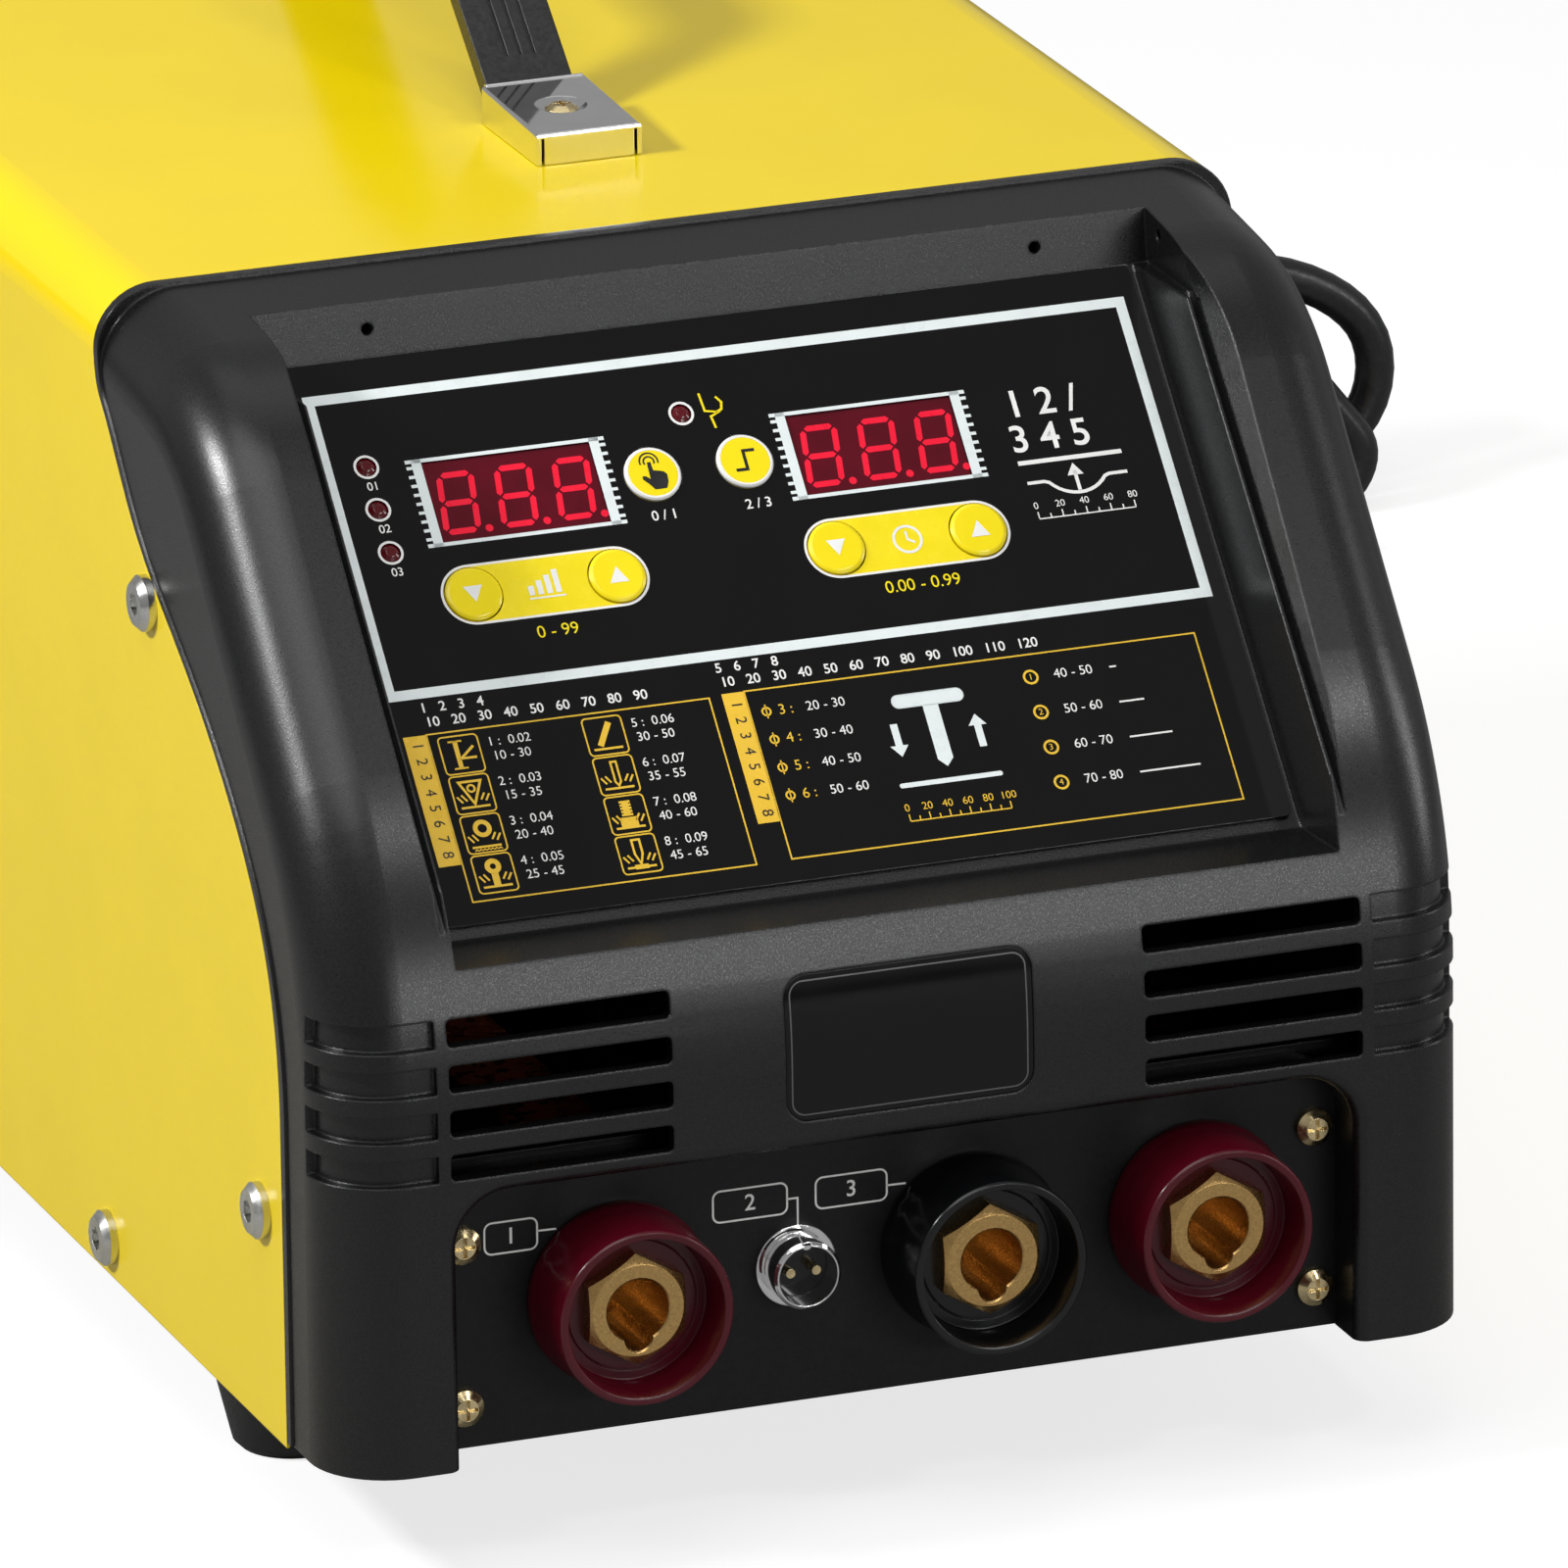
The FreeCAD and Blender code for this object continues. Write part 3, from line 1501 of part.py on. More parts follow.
def make_fan_guard():
    y0 = body_back
    centre = V(fan_x, y0, fan_z)
    step = (fan_bore - guard_boss) / guard_rings
    guard = rod(centre, AXIS_Y, guard_boss, guard_thick)
    for i in range(1, guard_rings + 1):
        radius = guard_boss + i * step
        guard = guard.fuse(pipe(centre, AXIS_Y, radius + guard_ring / 2, radius - guard_ring / 2,
                                guard_thick))
    reach = fan_screw_pitch / math.sqrt(2)
    for i in range(4):
        arm = block(-guard_ring / 2, guard_ring / 2, 0, guard_thick, 0, reach)
        arm.rotate(V(0, 0, 0), AXIS_Y, RIGHT_ANGLE / 2 + i * RIGHT_ANGLE)
        arm.translate(centre)
        guard = guard.fuse(arm)
    for x, z in fan_screw_places():
        guard = guard.fuse(rod(V(x, y0, z), AXIS_Y, guard_boss, guard_thick))
    for x, z in fan_screw_places():
        guard = guard.cut(rod(V(x, y0, z), AXIS_Y, rear_screw_shank, guard_thick))
    return guard


def make_fan_screws():
    return [pan_screw(V(x, body_back + guard_thick, z), AXIS_Y, rear_screw_head,
                      rear_screw_height, rear_screw_shank, rear_screw_length)
            for x, z in fan_screw_places()]


def make_switch_body():
    x = power_width / 2 - seat_gap
    z = power_height / 2 - seat_gap
    back = body_back
    body = block(power_x - x, power_x + x, back - power_depth, back, power_z - z, power_z + z)
    body = body.fuse(block(power_x - x - power_flange, power_x + x + power_flange, back,
                           back + power_flange_thick, power_z - z - power_flange,
                           power_z + z + power_flange))
    rx = rocker_width / 2 + rocker_gap
    rz = rocker_height / 2 + rocker_gap
    floor = back - rocker_radius - rocker_gap
    body = body.cut(block(power_x - rx, power_x + rx, floor - rocker_sunk, back + overrun,
                          power_z - rz, power_z + rz))
    pin = V(power_x - rx - rocker_pin, back - rocker_sunk, power_z)
    body = body.cut(rod(pin, AXIS_X, rocker_pin + fan_axle_gap, (rx + rocker_pin) * 2))
    return body


def make_switch_rocker():
    """A rocker whose outer face is a shallow V, on pins that turn in the body."""
    x = rocker_width / 2
    z = rocker_height / 2
    pivot = V(power_x - x, body_back - rocker_sunk, power_z)
    out = rocker_sunk + power_flange_thick
    tilt = math.tan(math.radians(rocker_angle)) * z
    outline = [V(0, -rocker_sunk, -z * 0.55), V(0, -rocker_sunk, z * 0.55), V(0, 0, z),
               V(0, out + tilt - power_flange_thick, z), V(0, out, 0),
               V(0, out + tilt - power_flange_thick, -z), V(0, 0, -z)]
    rocker = polygon([pivot + point for point in outline], V(x * 2, 0, 0))
    pin = pivot + V(-rocker_gap - rocker_pin * 0.9, 0, 0)
    rocker = rocker.fuse(rod(pin, AXIS_X, rocker_pin, (x + rocker_gap + rocker_pin * 0.9) * 2))
    rocker.rotate(pivot, AXIS_X, -rocker_angle)
    return rocker


def make_fuse_holder():
    centre = V(fuse_x, body_back, fuse_z)
    profile = [(0, -fuse_depth), (fuse_radius - seat_gap, -fuse_depth), (fuse_radius - seat_gap, 0),
               (fuse_head, 0), (fuse_head, fuse_reach * 0.4), (fuse_radius, fuse_reach * 0.4),
               (fuse_radius, fuse_reach), (0, fuse_reach)]
    holder = turned(profile, centre)
    slot = block(fuse_x - fuse_radius * 0.7, fuse_x + fuse_radius * 0.7,
                 body_back + fuse_reach * 0.8, body_back + fuse_reach, fuse_z - seat_gap * 4,
                 fuse_z + seat_gap * 4)
    return holder.cut(slot)


def sleeve_profile(root, tip, length, start):
    """A tapering sleeve's outline with grooves between its rings, from its root outwards."""
    pitch = length / sleeve_ring_count
    profile = [(0, start)]
    for i in range(sleeve_ring_count):
        radius = root + (tip - root) * i / (sleeve_ring_count - 1)
        near = start + i * pitch
        profile += [(radius, near), (radius, near + pitch / 2)]
        if i + 1 < sleeve_ring_count:
            profile += [(radius - sleeve_ring, near + pitch / 2), (radius - sleeve_ring, near + pitch)]
        else:
            profile += [(radius, near + pitch)]
    profile.append((0, start + length))
    return profile


def gland_end():
    return body_back + gland_flange + gland_nut + sleeve_length


def make_cord_gland():
    centre = V(gland_x, body_back, gland_z)
    body = hexagon(centre, gland_flats, AXIS_Y, gland_flange)
    nut_radius = gland_flats / 2
    nut_end = gland_flange + gland_nut
    nut = turned([(0, gland_flange), (nut_radius, gland_flange),
                  (nut_radius, nut_end - gland_nut_taper), (nut_radius - gland_nut_taper, nut_end),
                  (0, nut_end)], centre)
    sleeve = turned(sleeve_profile(sleeve_root, sleeve_tip, sleeve_length, nut_end), centre)
    thread = rod(centre, FRONT, gland_thread - seat_gap, gland_inside)
    back_nut = hexagon(V(gland_x, rear_front() - gland_flange, gland_z), gland_flats, AXIS_Y,
                       gland_flange)
    return body.fuse([nut, sleeve, thread, back_nut])


# Mains cord and plug

def bend(start, ahead, side, radius, turn):
    """An arc from start that heads ahead and turns towards side; it gives its end and heading."""
    centre = start + side * radius

    def along(angle):
        return centre - side * (radius * math.cos(angle)) + ahead * (radius * math.sin(angle))

    end = along(turn)
    edge = Part.Arc(start, along(turn / 2), end).toShape()
    return edge, end, ahead * math.cos(turn) + side * math.sin(turn)


def double_bend(start, ahead, side, length, aside):
    """Two equal arcs that move a run aside within a length and leave its heading as it was."""
    turn = math.atan(aside / length) * 2
    radius = (length * length + aside * aside) / (aside * 4)
    first, middle, heading = bend(start, ahead, side, radius, turn)
    back = (ahead * math.sin(turn) - side * math.cos(turn)).normalize()
    second, end, heading = bend(middle, heading, back, radius, turn)
    return [first, second], end, radius


def cord_route():
    start = V(gland_x, gland_end(), gland_z)
    rear = hank_front + hank_pitch * len(hank_run_ends)
    return [start] + [V(*point) for point in cord_points] + [V(hank_start, rear, cord_radius)]


def cord_route_edges():
    """Straight runs and tangent arcs along the route, each arc as large as its runs allow."""
    route = cord_route()
    corners = [(route[0], 0)]
    radii = []
    for before, point, after in zip(route, route[1:], route[2:]):
        turn = (point - before).getAngle(after - point)
        shorter = min(before.distanceToPoint(point), point.distanceToPoint(after))
        radii.append(cord_bend_share * shorter / math.tan(turn / 2))
        corners.append((point, radii[-1]))
    corners.append((route[-1], 0))
    return outline_edges(corners, closed=False), radii


def fold_edges(start, ahead, tight):
    """The right end of a loop, up and back; a tight one leans back on a slanting run."""
    edges = []
    side = AXIS_Z
    if tight:
        bends = [(hank_tight_radius, hank_tight_turn), None,
                 (hank_tight_top, HALF_TURN - hank_tight_turn)]
    else:
        bends = [(hank_fold_low_far, hank_fold_far_turn), (hank_fold_low_near, hank_fold_near_turn),
                 (hank_fold_high_near, hank_fold_near_turn), (hank_fold_high_far, hank_fold_far_turn)]
    for step in bends:
        if step is None:
            end = start + ahead * hank_tight_run
            edges.append(Part.LineSegment(start, end).toShape())
            start = end
            continue
        radius, turn = step
        edge, start, ahead = bend(start, ahead, side, radius, math.radians(turn))
        side = AXIS_Y.cross(ahead) * -1
        edges.append(edge)
    return edges, start


def hank_edges():
    """The hank's line: loops that stand side by side, each drawn down to the waist on top."""
    count = len(hank_run_ends)
    at = V(hank_start, hank_front + hank_pitch * count, cord_radius)
    edges = []
    radii = []

    def run_to(x):
        nonlocal at
        end = V(x, at.y, at.z)
        edges.append(Part.LineSegment(at, end).toShape())
        at = end

    def move_aside(ahead, side, length, aside):
        nonlocal at
        both, at, radius = double_bend(at, ahead, side, length, aside)
        edges.extend(both)
        radii.append(radius)

    for i in range(count):
        run_to(hank_climb_start)
        move_aside(AXIS_X, FRONT, hank_climb_length, hank_pitch)
        run_to(hank_run_ends[i])
        fold, at = fold_edges(at, AXIS_X, i + 1 == count)
        edges.extend(fold)
        waist_end = hank_waist + hank_waist_length
        move_aside(-AXIS_X, DOWN, at.x - waist_end, at.z - hank_waist_height)
        run_to(hank_waist)
        top = cord_radius + hank_left_radius * 2
        move_aside(-AXIS_X, AXIS_Z, hank_waist - hank_left_ends[i], top - hank_waist_height)
        edge, at, heading = bend(at, -AXIS_X, DOWN, hank_left_radius, math.pi)
        edges.append(edge)
    lift = plug_height / 2 - cord_radius
    aside = V(0, -hank_tail_aside, lift)
    move_aside(AXIS_X, V(aside).normalize(), hank_tail_length, aside.Length)
    run_to(at.x + cord_radius * 2)
    return edges, at, radii


def cord_tube(edges):
    start = edges[0].valueAt(edges[0].FirstParameter)
    wire = Part.Wire(edges)
    ahead = (wire.Edges[0].Vertexes[-1].Point - wire.Edges[0].Vertexes[0].Point).normalize()
    ring = Part.Wire(Part.makeCircle(cord_radius, start, ahead))
    return wire.makePipeShell([ring], True, False)


def least_gap(edges):
    """The least gap between stretches of the tube that lie gap_apart or more along it."""
    points = []
    for edge in edges:
        steps = max(2, math.ceil(edge.Length / gap_step))
        points.extend(edge.discretize(Number=steps + 1)[:-1])
    skip = int(gap_apart / gap_step)
    nearest = min(
        min(point.distanceToPoint(other) for other in points[i + skip:])
        for i, point in enumerate(points[:-skip])
    )
    return nearest - cord_radius * 2


def plug_start():
    return hank_edges()[1]


def make_plug():
    """The moulded plug, which lies on the floor with its pins ahead."""
    start = plug_start()
    sleeve = turned(sleeve_profile(plug_sleeve_tip, plug_neck, plug_sleeve, 0), start, AXIS_X)
    back = start + AXIS_X * plug_sleeve
    half = plug_width / 2
    front = back.x + plug_length
    outline = [
        (V(back.x, back.y + plug_neck, 0), 0),
        (V(back.x + plug_shoulder, back.y + half, 0), plug_round),
        (V(front, back.y + half, 0), plug_round),
        (V(front, back.y - half, 0), plug_round),
        (V(back.x + plug_shoulder, back.y - half, 0), plug_round),
        (V(back.x, back.y - plug_neck, 0), 0),
    ]
    body = plate(outline, AXIS_Z * plug_height)
    rims = [edge for edge in body.Edges if edge.BoundBox.ZLength < seat_gap
            and edge.BoundBox.XMax > back.x + seat_gap]
    body = body.makeFillet(plug_edge_round, rims)
    body = body.fuse(sleeve)
    for pin in make_plug_pins():
        body = body.cut(pin)
    return body


def make_plug_pins():
    start = plug_start()
    face = start.x + plug_sleeve + plug_length
    pins = []
    for side in (-1, 1):
        base = V(face - plug_pin_seat, start.y + side * plug_pin_apart / 2, start.z)
        pin = rod(base, AXIS_X, plug_pin_radius, plug_pin_seat + plug_pin_length)
        tip = [edge for edge in pin.Edges if edge.BoundBox.XMin > face + seat_gap
               and edge.BoundBox.XLength < seat_gap]
        pins.append(pin.makeFillet(plug_pin_radius / 2, tip))
    return pins


# Inner pieces: transformer, capacitors, heat sink and busbars

def core_bottom():
    return body_bottom + pan_thick + core_lift


def make_transformer_core():
    x = core_width / 2
    low = core_bottom()
    core = block(core_x - x, core_x + x, core_y, core_y + core_depth, low, low + core_height)
    for side in (-1, 1):
        x0, x1 = sorted((core_x + side * core_leg, core_x + side * (x - core_leg)))
        core = core.cut(block(x0, x1, core_y - overrun, core_y + core_depth + overrun,
                              low + core_leg, low + core_height - core_leg))
    return core


def make_winding(start, build):
    low = core_bottom() + core_leg + winding_gap
    high = core_bottom() + core_height - core_leg - winding_gap
    a = core_leg + start
    y0 = core_y - start
    y1 = core_y + core_depth + start
    corners = [V(core_x - a - build, y0 - build, low), V(core_x + a + build, y0 - build, low),
               V(core_x + a + build, y1 + build, low), V(core_x - a - build, y1 + build, low)]
    form = plate([(corner, build) for corner in corners], V(0, 0, high - low))
    return form.cut(block(core_x - a, core_x + a, y0, y1, low, high))


def make_transformer_brackets():
    brackets = []
    low = body_bottom + pan_thick
    x = core_width / 2
    shelf = core_bottom()
    for side in (-1, 1):
        x0, x1 = sorted((core_x + side * (x - core_leg), core_x + side * (x + bracket_foot)))
        foot = block(x0, x1, core_y, core_y + core_depth, low, low + bracket_thick)
        x0, x1 = sorted((core_x + side * x, core_x + side * (x + bracket_thick)))
        wall = block(x0, x1, core_y, core_y + core_depth, low, shelf + bracket_height)
        x0, x1 = sorted((core_x + side * (x - core_leg), core_x + side * x))
        seat = block(x0, x1, core_y, core_y + core_depth, shelf - bracket_thick, shelf)
        x0, x1 = sorted((core_x + side * (x - core_leg), core_x + side * (x - core_leg + bracket_thick)))
        leg = block(x0, x1, core_y, core_y + core_depth, low, shelf)
        brackets.append(foot.fuse(wall).fuse(seat).fuse(leg))
    return brackets


def can_places():
    return [(can_x, can_y + row * can_pitch) for row in range(can_rows)]


def can_bottom():
    return body_bottom + pan_thick + can_lift


def make_capacitors():
    cans = []
    for x, y in can_places():
        can = rod(V(x, y, can_bottom()), AXIS_Z, can_radius, can_height)
        for side in (-1, 1):
            base = V(x + side * can_terminal_gap * 1.4, y, can_bottom() + can_height)
            can = can.fuse(rod(base, AXIS_Z, can_terminal, can_terminal_height))
        cans.append(can)
    return cans


def make_capacitor_board():
    top = can_bottom() + can_height + can_terminal_height
    first = can_y - can_radius
    last = can_y + (can_rows - 1) * can_pitch + can_radius
    return block(can_x - can_radius, can_x + can_radius, first, last, top, top + bank_board_thick)


def make_capacitor_clamp():
    """A tray under the cans, with a band half way up that holds them."""
    low = body_bottom + pan_thick
    first = can_y - can_radius - clamp_thick * 2
    last = can_y + (can_rows - 1) * can_pitch + can_radius + clamp_thick * 2
    wide = can_radius + clamp_thick * 2
    tray = block(can_x - wide, can_x + wide, first, last, low, low + can_lift)
    level = low + clamp_lift
    band = block(can_x - wide, can_x + wide, first, last, level, level + can_lift)
    for x, y in can_places():
        band = band.cut(rod(V(x, y, level), AXIS_Z, can_radius, can_lift))
    posts = []
    for y0 in (first, last - clamp_thick):
        posts.append(block(can_x - wide, can_x + wide, y0, y0 + clamp_thick, low, level + can_lift))
    return tray.fuse(band).fuse(posts)


def make_heat_sink():
    low = body_bottom + pan_thick
    sink = block(sink_x, sink_x + sink_width, sink_y, sink_y + sink_depth,
                 low + sink_fin_height, low + sink_fin_height + sink_base)
    pitch = (sink_width - sink_fin) / (sink_fin_count - 1)
    fins = []
    for i in range(sink_fin_count):
        x = sink_x + i * pitch
        fins.append(block(x, x + sink_fin, sink_y, sink_y + sink_depth, low,
                          low + sink_fin_height + sink_base / 2))
    return sink.fuse(fins)


def make_thyristors():
    low = body_bottom + pan_thick + sink_fin_height + sink_base
    modules = []
    for i in (0, 1):
        x = sink_x + module_gap + i * (module_width + module_gap)
        y = sink_y + (sink_depth - module_depth) / 2
        base = block(x, x + module_width, y, y + module_depth, low, low + module_height * 0.7)
        top = block(x + module_gap / 2, x + module_width - module_gap / 2, y + module_gap,
                    y + module_depth - module_gap, low + module_height * 0.7, low + module_height)
        modules.append(base.fuse(top))
    return modules


def bent_bar(x, corners):
    """A flat bar through corners given as (y, z) of its lower front side, leg by leg."""
    half = bar_width / 2
    legs = []
    for (y0, z0), (y1, z1) in zip(corners, corners[1:]):
        legs.append(block(x - half, x + half, min(y0, y1), max(y0, y1) + bar_thick,
                          min(z0, z1), max(z0, z1) + bar_thick))
    return union(legs)


def make_busbars():
    """Copper bars from the sockets' studs back to the secondary winding and the capacitors."""
    bars = []
    start = panel_thick + socket_neck_length
    level = socket_z + bar_rise
    winding_front = core_y - winding_gap * 2 - primary_build - secondary_build
    bank_front = can_y - can_radius - clamp_thick * 2 - bar_thick - seat_gap * 2
    bank_top = can_bottom() + can_height + can_terminal_height + bank_board_thick
    for name, x in socket_places.items():
        corners = [(start, socket_z - bar_drop), (start, level)]
        if name == "right":
            corners += [(bank_front, level), (bank_front, bank_top),
                        (bank_front + bar_foot, bank_top)]
        else:
            corners += [(winding_front - bar_thick, level)]
        bar = bent_bar(x, corners)
        bars.append(bar.cut(rod(socket_centre(x, start - overrun), AXIS_Y, insert_stud, overrun * 2)))
    return bars


keep("top_cover", make_top_cover())
keep("front_fascia", make_front_fascia())
keep("control_membrane", make_control_membrane())
for name, (across, down) in key_places.items():
    keep(name, make_key(across, down))
keep("segment_displays", [make_display(across, down) for across, down in display_places])
keep("indicator_lamps", make_lamps())
keep("control_board", make_control_board())
keep("key_switches", make_key_switches())
keep("board_standoffs", make_board_standoffs())
keep("board_screws", make_board_screws())
keep("nameplate", make_nameplate())
keep("connector_panel", make_connector_panel())
keep("connector_panel_screws", [
    pan_screw(seat, FRONT, panel_screw_head, panel_screw_head_height, panel_screw_shank,
              panel_screw_length) for seat in panel_screw_seats()])
for name, x in socket_places.items():
    keep(name + "_socket_housing", make_socket_housing(x))
    keep(name + "_socket_insert", make_socket_insert(x))
keep("socket_clamp_rings", [make_socket_clamp(x) for x in socket_places.values()])
keep("socket_nuts", [make_socket_nut(x) for x in socket_places.values()] + [make_link_nut()])
keep("control_socket_shell", make_link_shell())
keep("control_socket_core", make_link_core())
keep("control_socket_pins", make_link_pins())
keep("chassis_pan", make_chassis_pan())
keep("rubber_feet", make_rubber_feet())
keep("foot_screws", make_foot_screws())
keep("rear_panel", make_rear_panel())
keep("cover_screws", make_cover_screws())
keep("handle_strap", strap_notch(make_handle_strap()))
keep("handle_strip", strap_notch(make_handle_strip()))
keep("handle_caps", make_handle_caps())
keep("handle_screws", make_handle_screws())
keep("fan_frame", make_fan_frame())
keep("fan_rotor", make_fan_rotor())
keep("fan_guard", make_fan_guard())
keep("fan_screws", make_fan_screws())
keep("power_switch_body", make_switch_body())
keep("power_switch_rocker", make_switch_rocker())
keep("fuse_holder", make_fuse_holder())
keep("cord_gland", make_cord_gland())
keep("transformer_core", make_transformer_core())
keep("primary_winding", make_winding(winding_gap, primary_build))
keep("secondary_winding", make_winding(winding_gap * 2 + primary_build, secondary_build))
keep("transformer_brackets", make_transformer_brackets())
keep("capacitors", make_capacitors())
keep("capacitor_board", make_capacitor_board())
keep("capacitor_clamp", make_capacitor_clamp())
keep("heat_sink", make_heat_sink())
keep("thyristor_modules", make_thyristors())
keep("socket_busbars", make_busbars())

# The machine's own box, before the cord and its plug are added
machine = Part.makeCompound([solid for solids in pieces.values() for solid in solids])
box = machine.optimalBoundingBox(False, False)

route_edges, route_radii = cord_route_edges()
loop_edges, loop_end, loop_radii = hank_edges()
keep("mains_cord", cord_tube(route_edges))
keep("mains_cord_hank", cord_tube(loop_edges))
keep("mains_plug", make_plug())
keep("plug_pins", make_plug_pins())

# Move everything so that the origin is the middle of the machine's underside, and write it
shift = V(-(box.XMin + box.XMax) / 2, -(box.YMin + box.YMax) / 2, -box.ZMin)
for name, solids in pieces.items():
    shape = solids[0] if len(solids) == 1 else Part.makeCompound(solids)
    shape = shape.copy()
    shape.translate(shift)
    shape.exportStep("parts/" + name + ".step")
print("shift", shift.x, shift.y, shift.z)
print("size", box.XLength, box.YLength, box.ZLength)
for name, solids in pieces.items():
    valid = all(solid.isValid() for solid in solids)
    volume = sum(solid.Volume for solid in solids)
    print(name, len(solids), "valid" if valid else "NOT VALID", round(volume, 1))
section = math.pi * cord_radius * cord_radius
for name, edges, radii in (("mains_cord", route_edges, route_radii),
                           ("mains_cord_hank", loop_edges, loop_radii)):
    length = sum(edge.Length for edge in edges)
    print(name, "length", round(length, 1), "radii", [round(radius, 1) for radius in radii])
    print(name, "volume over section times length", round(pieces[name][0].Volume / section / length, 4))
print("least gap in the hank", round(least_gap(loop_edges), 2))
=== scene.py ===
import json
import math

import bmesh
import bpy
from mathutils import Matrix, Vector


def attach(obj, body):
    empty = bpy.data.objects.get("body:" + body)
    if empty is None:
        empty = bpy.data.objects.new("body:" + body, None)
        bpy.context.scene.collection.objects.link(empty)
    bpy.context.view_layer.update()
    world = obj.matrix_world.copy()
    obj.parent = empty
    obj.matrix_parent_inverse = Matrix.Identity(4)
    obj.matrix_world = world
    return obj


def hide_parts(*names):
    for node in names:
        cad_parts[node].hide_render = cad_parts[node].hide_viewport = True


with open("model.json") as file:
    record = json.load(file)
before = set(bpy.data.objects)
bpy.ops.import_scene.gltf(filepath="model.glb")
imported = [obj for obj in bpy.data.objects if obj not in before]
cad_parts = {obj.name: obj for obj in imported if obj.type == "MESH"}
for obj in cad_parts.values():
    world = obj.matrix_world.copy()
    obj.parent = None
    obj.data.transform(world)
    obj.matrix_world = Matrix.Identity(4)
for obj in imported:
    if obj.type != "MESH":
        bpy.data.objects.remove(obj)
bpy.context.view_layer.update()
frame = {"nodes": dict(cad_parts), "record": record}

# Dent pulling spot welder: finishes, printed panel, keys' marks, sockets, cord and studio.
# Sizes are in millimetres in the machine's own datum: X to the right, Y back from the
# connector panel's front face, Z up from the floor. place() turns them into the frame.

MM = 0.001
DATUM_BACK = 222.5
PANEL_TILT = 44.1
PANEL_TOP = (97.2, 224.5)
CASE = "case"
# Print stands this high over its face, and print over print twice as high
INK = 0.05
OVER_INK = INK * 2
LOW_SHARE = 0.9

node_body = {
    node: body
    for body, members in frame["record"]["behaviour"]["bodies"].items()
    for node in members
}
node_slot = {part["node"]: part["material_slot"] for part in frame["record"]["subparts"]}


def place(x, y, z):
    return Vector((x, y - DATUM_BACK, z)) * MM


panel_matrix = (
    Matrix.Translation(place(0, *PANEL_TOP))
    @ Matrix.Rotation(math.radians(90 - PANEL_TILT), 4, "X")
    @ Matrix.Scale(MM, 4)
)
datum_matrix = Matrix.Translation(place(0, 0, 0)) @ Matrix.Scale(MM, 4)
front_matrix = (
    Matrix.Translation(place(0, 0, 0))
    @ Matrix.Rotation(math.radians(90), 4, "X")
    @ Matrix.Scale(MM, 4)
)


# Materials

NOISE_LOW = 0.35
NOISE_HIGH = 0.65
PATCH_DETAIL = 4.0
CLOUD_DETAIL = 3.0
GRAIN_DETAIL = 2.0
EDGE_SAMPLES = 6
LEAST_ROUGH = 0.02


def new_material(name):
    material = bpy.data.materials.new(name)
    material.use_nodes = True
    shader = material.node_tree.nodes["Principled BSDF"]
    return material, shader


def set_shader(shader, **values):
    for label, value in values.items():
        shader.inputs[label.replace("_", " ")].default_value = value


def colour(r, g, b):
    return (r, g, b, 1.0)


def object_noise(material, cell, detail):
    """A noise texture on the object's own coordinates, in cells of about cell millimetres."""
    nodes = material.node_tree.nodes
    links = material.node_tree.links
    where = nodes.new("ShaderNodeTexCoord")
    noise = nodes.new("ShaderNodeTexNoise")
    noise.inputs["Scale"].default_value = 1 / (cell * MM)
    noise.inputs["Detail"].default_value = detail
    material.node_tree.links.new(where.outputs["Object"], noise.inputs["Vector"])
    return noise.outputs["Fac"]


def spread(material, source, low, high):
    """The noise's middle range, spread onto low..high."""
    nodes = material.node_tree.nodes
    span = nodes.new("ShaderNodeMapRange")
    span.inputs["From Min"].default_value = NOISE_LOW
    span.inputs["From Max"].default_value = NOISE_HIGH
    span.inputs["To Min"].default_value = low
    span.inputs["To Max"].default_value = high
    material.node_tree.links.new(source, span.inputs["Value"])
    return span.outputs["Result"]


def add_relief(material, shader, edge, source=None, depth=0.0):
    """Worn-soft edges of radius edge, in millimetres, under the grain's own relief."""
    nodes = material.node_tree.nodes
    links = material.node_tree.links
    soft_edge = nodes.new("ShaderNodeBevel")
    soft_edge.samples = EDGE_SAMPLES
    soft_edge.inputs["Radius"].default_value = edge * MM
    normal = soft_edge.outputs["Normal"]
    if source:
        bump = nodes.new("ShaderNodeBump")
        bump.inputs["Distance"].default_value = depth * MM
        links.new(source, bump.inputs["Height"])
        links.new(normal, bump.inputs["Normal"])
        normal = bump.outputs["Normal"]
    links.new(normal, shader.inputs["Normal"])


def mix_colours(material, shader, factor, first, second):
    """The base colour between two, by a factor; each is a colour or a node's output."""
    links = material.node_tree.links
    mix = material.node_tree.nodes.new("ShaderNodeMix")
    mix.data_type = "RGBA"
    for label, tone in (("A", first), ("B", second)):
        if isinstance(tone, tuple):
            mix.inputs[label].default_value = tone
        else:
            links.new(tone, mix.inputs[label])
    links.new(factor, mix.inputs["Factor"])
    links.new(mix.outputs["Result"], shader.inputs["Base Color"])


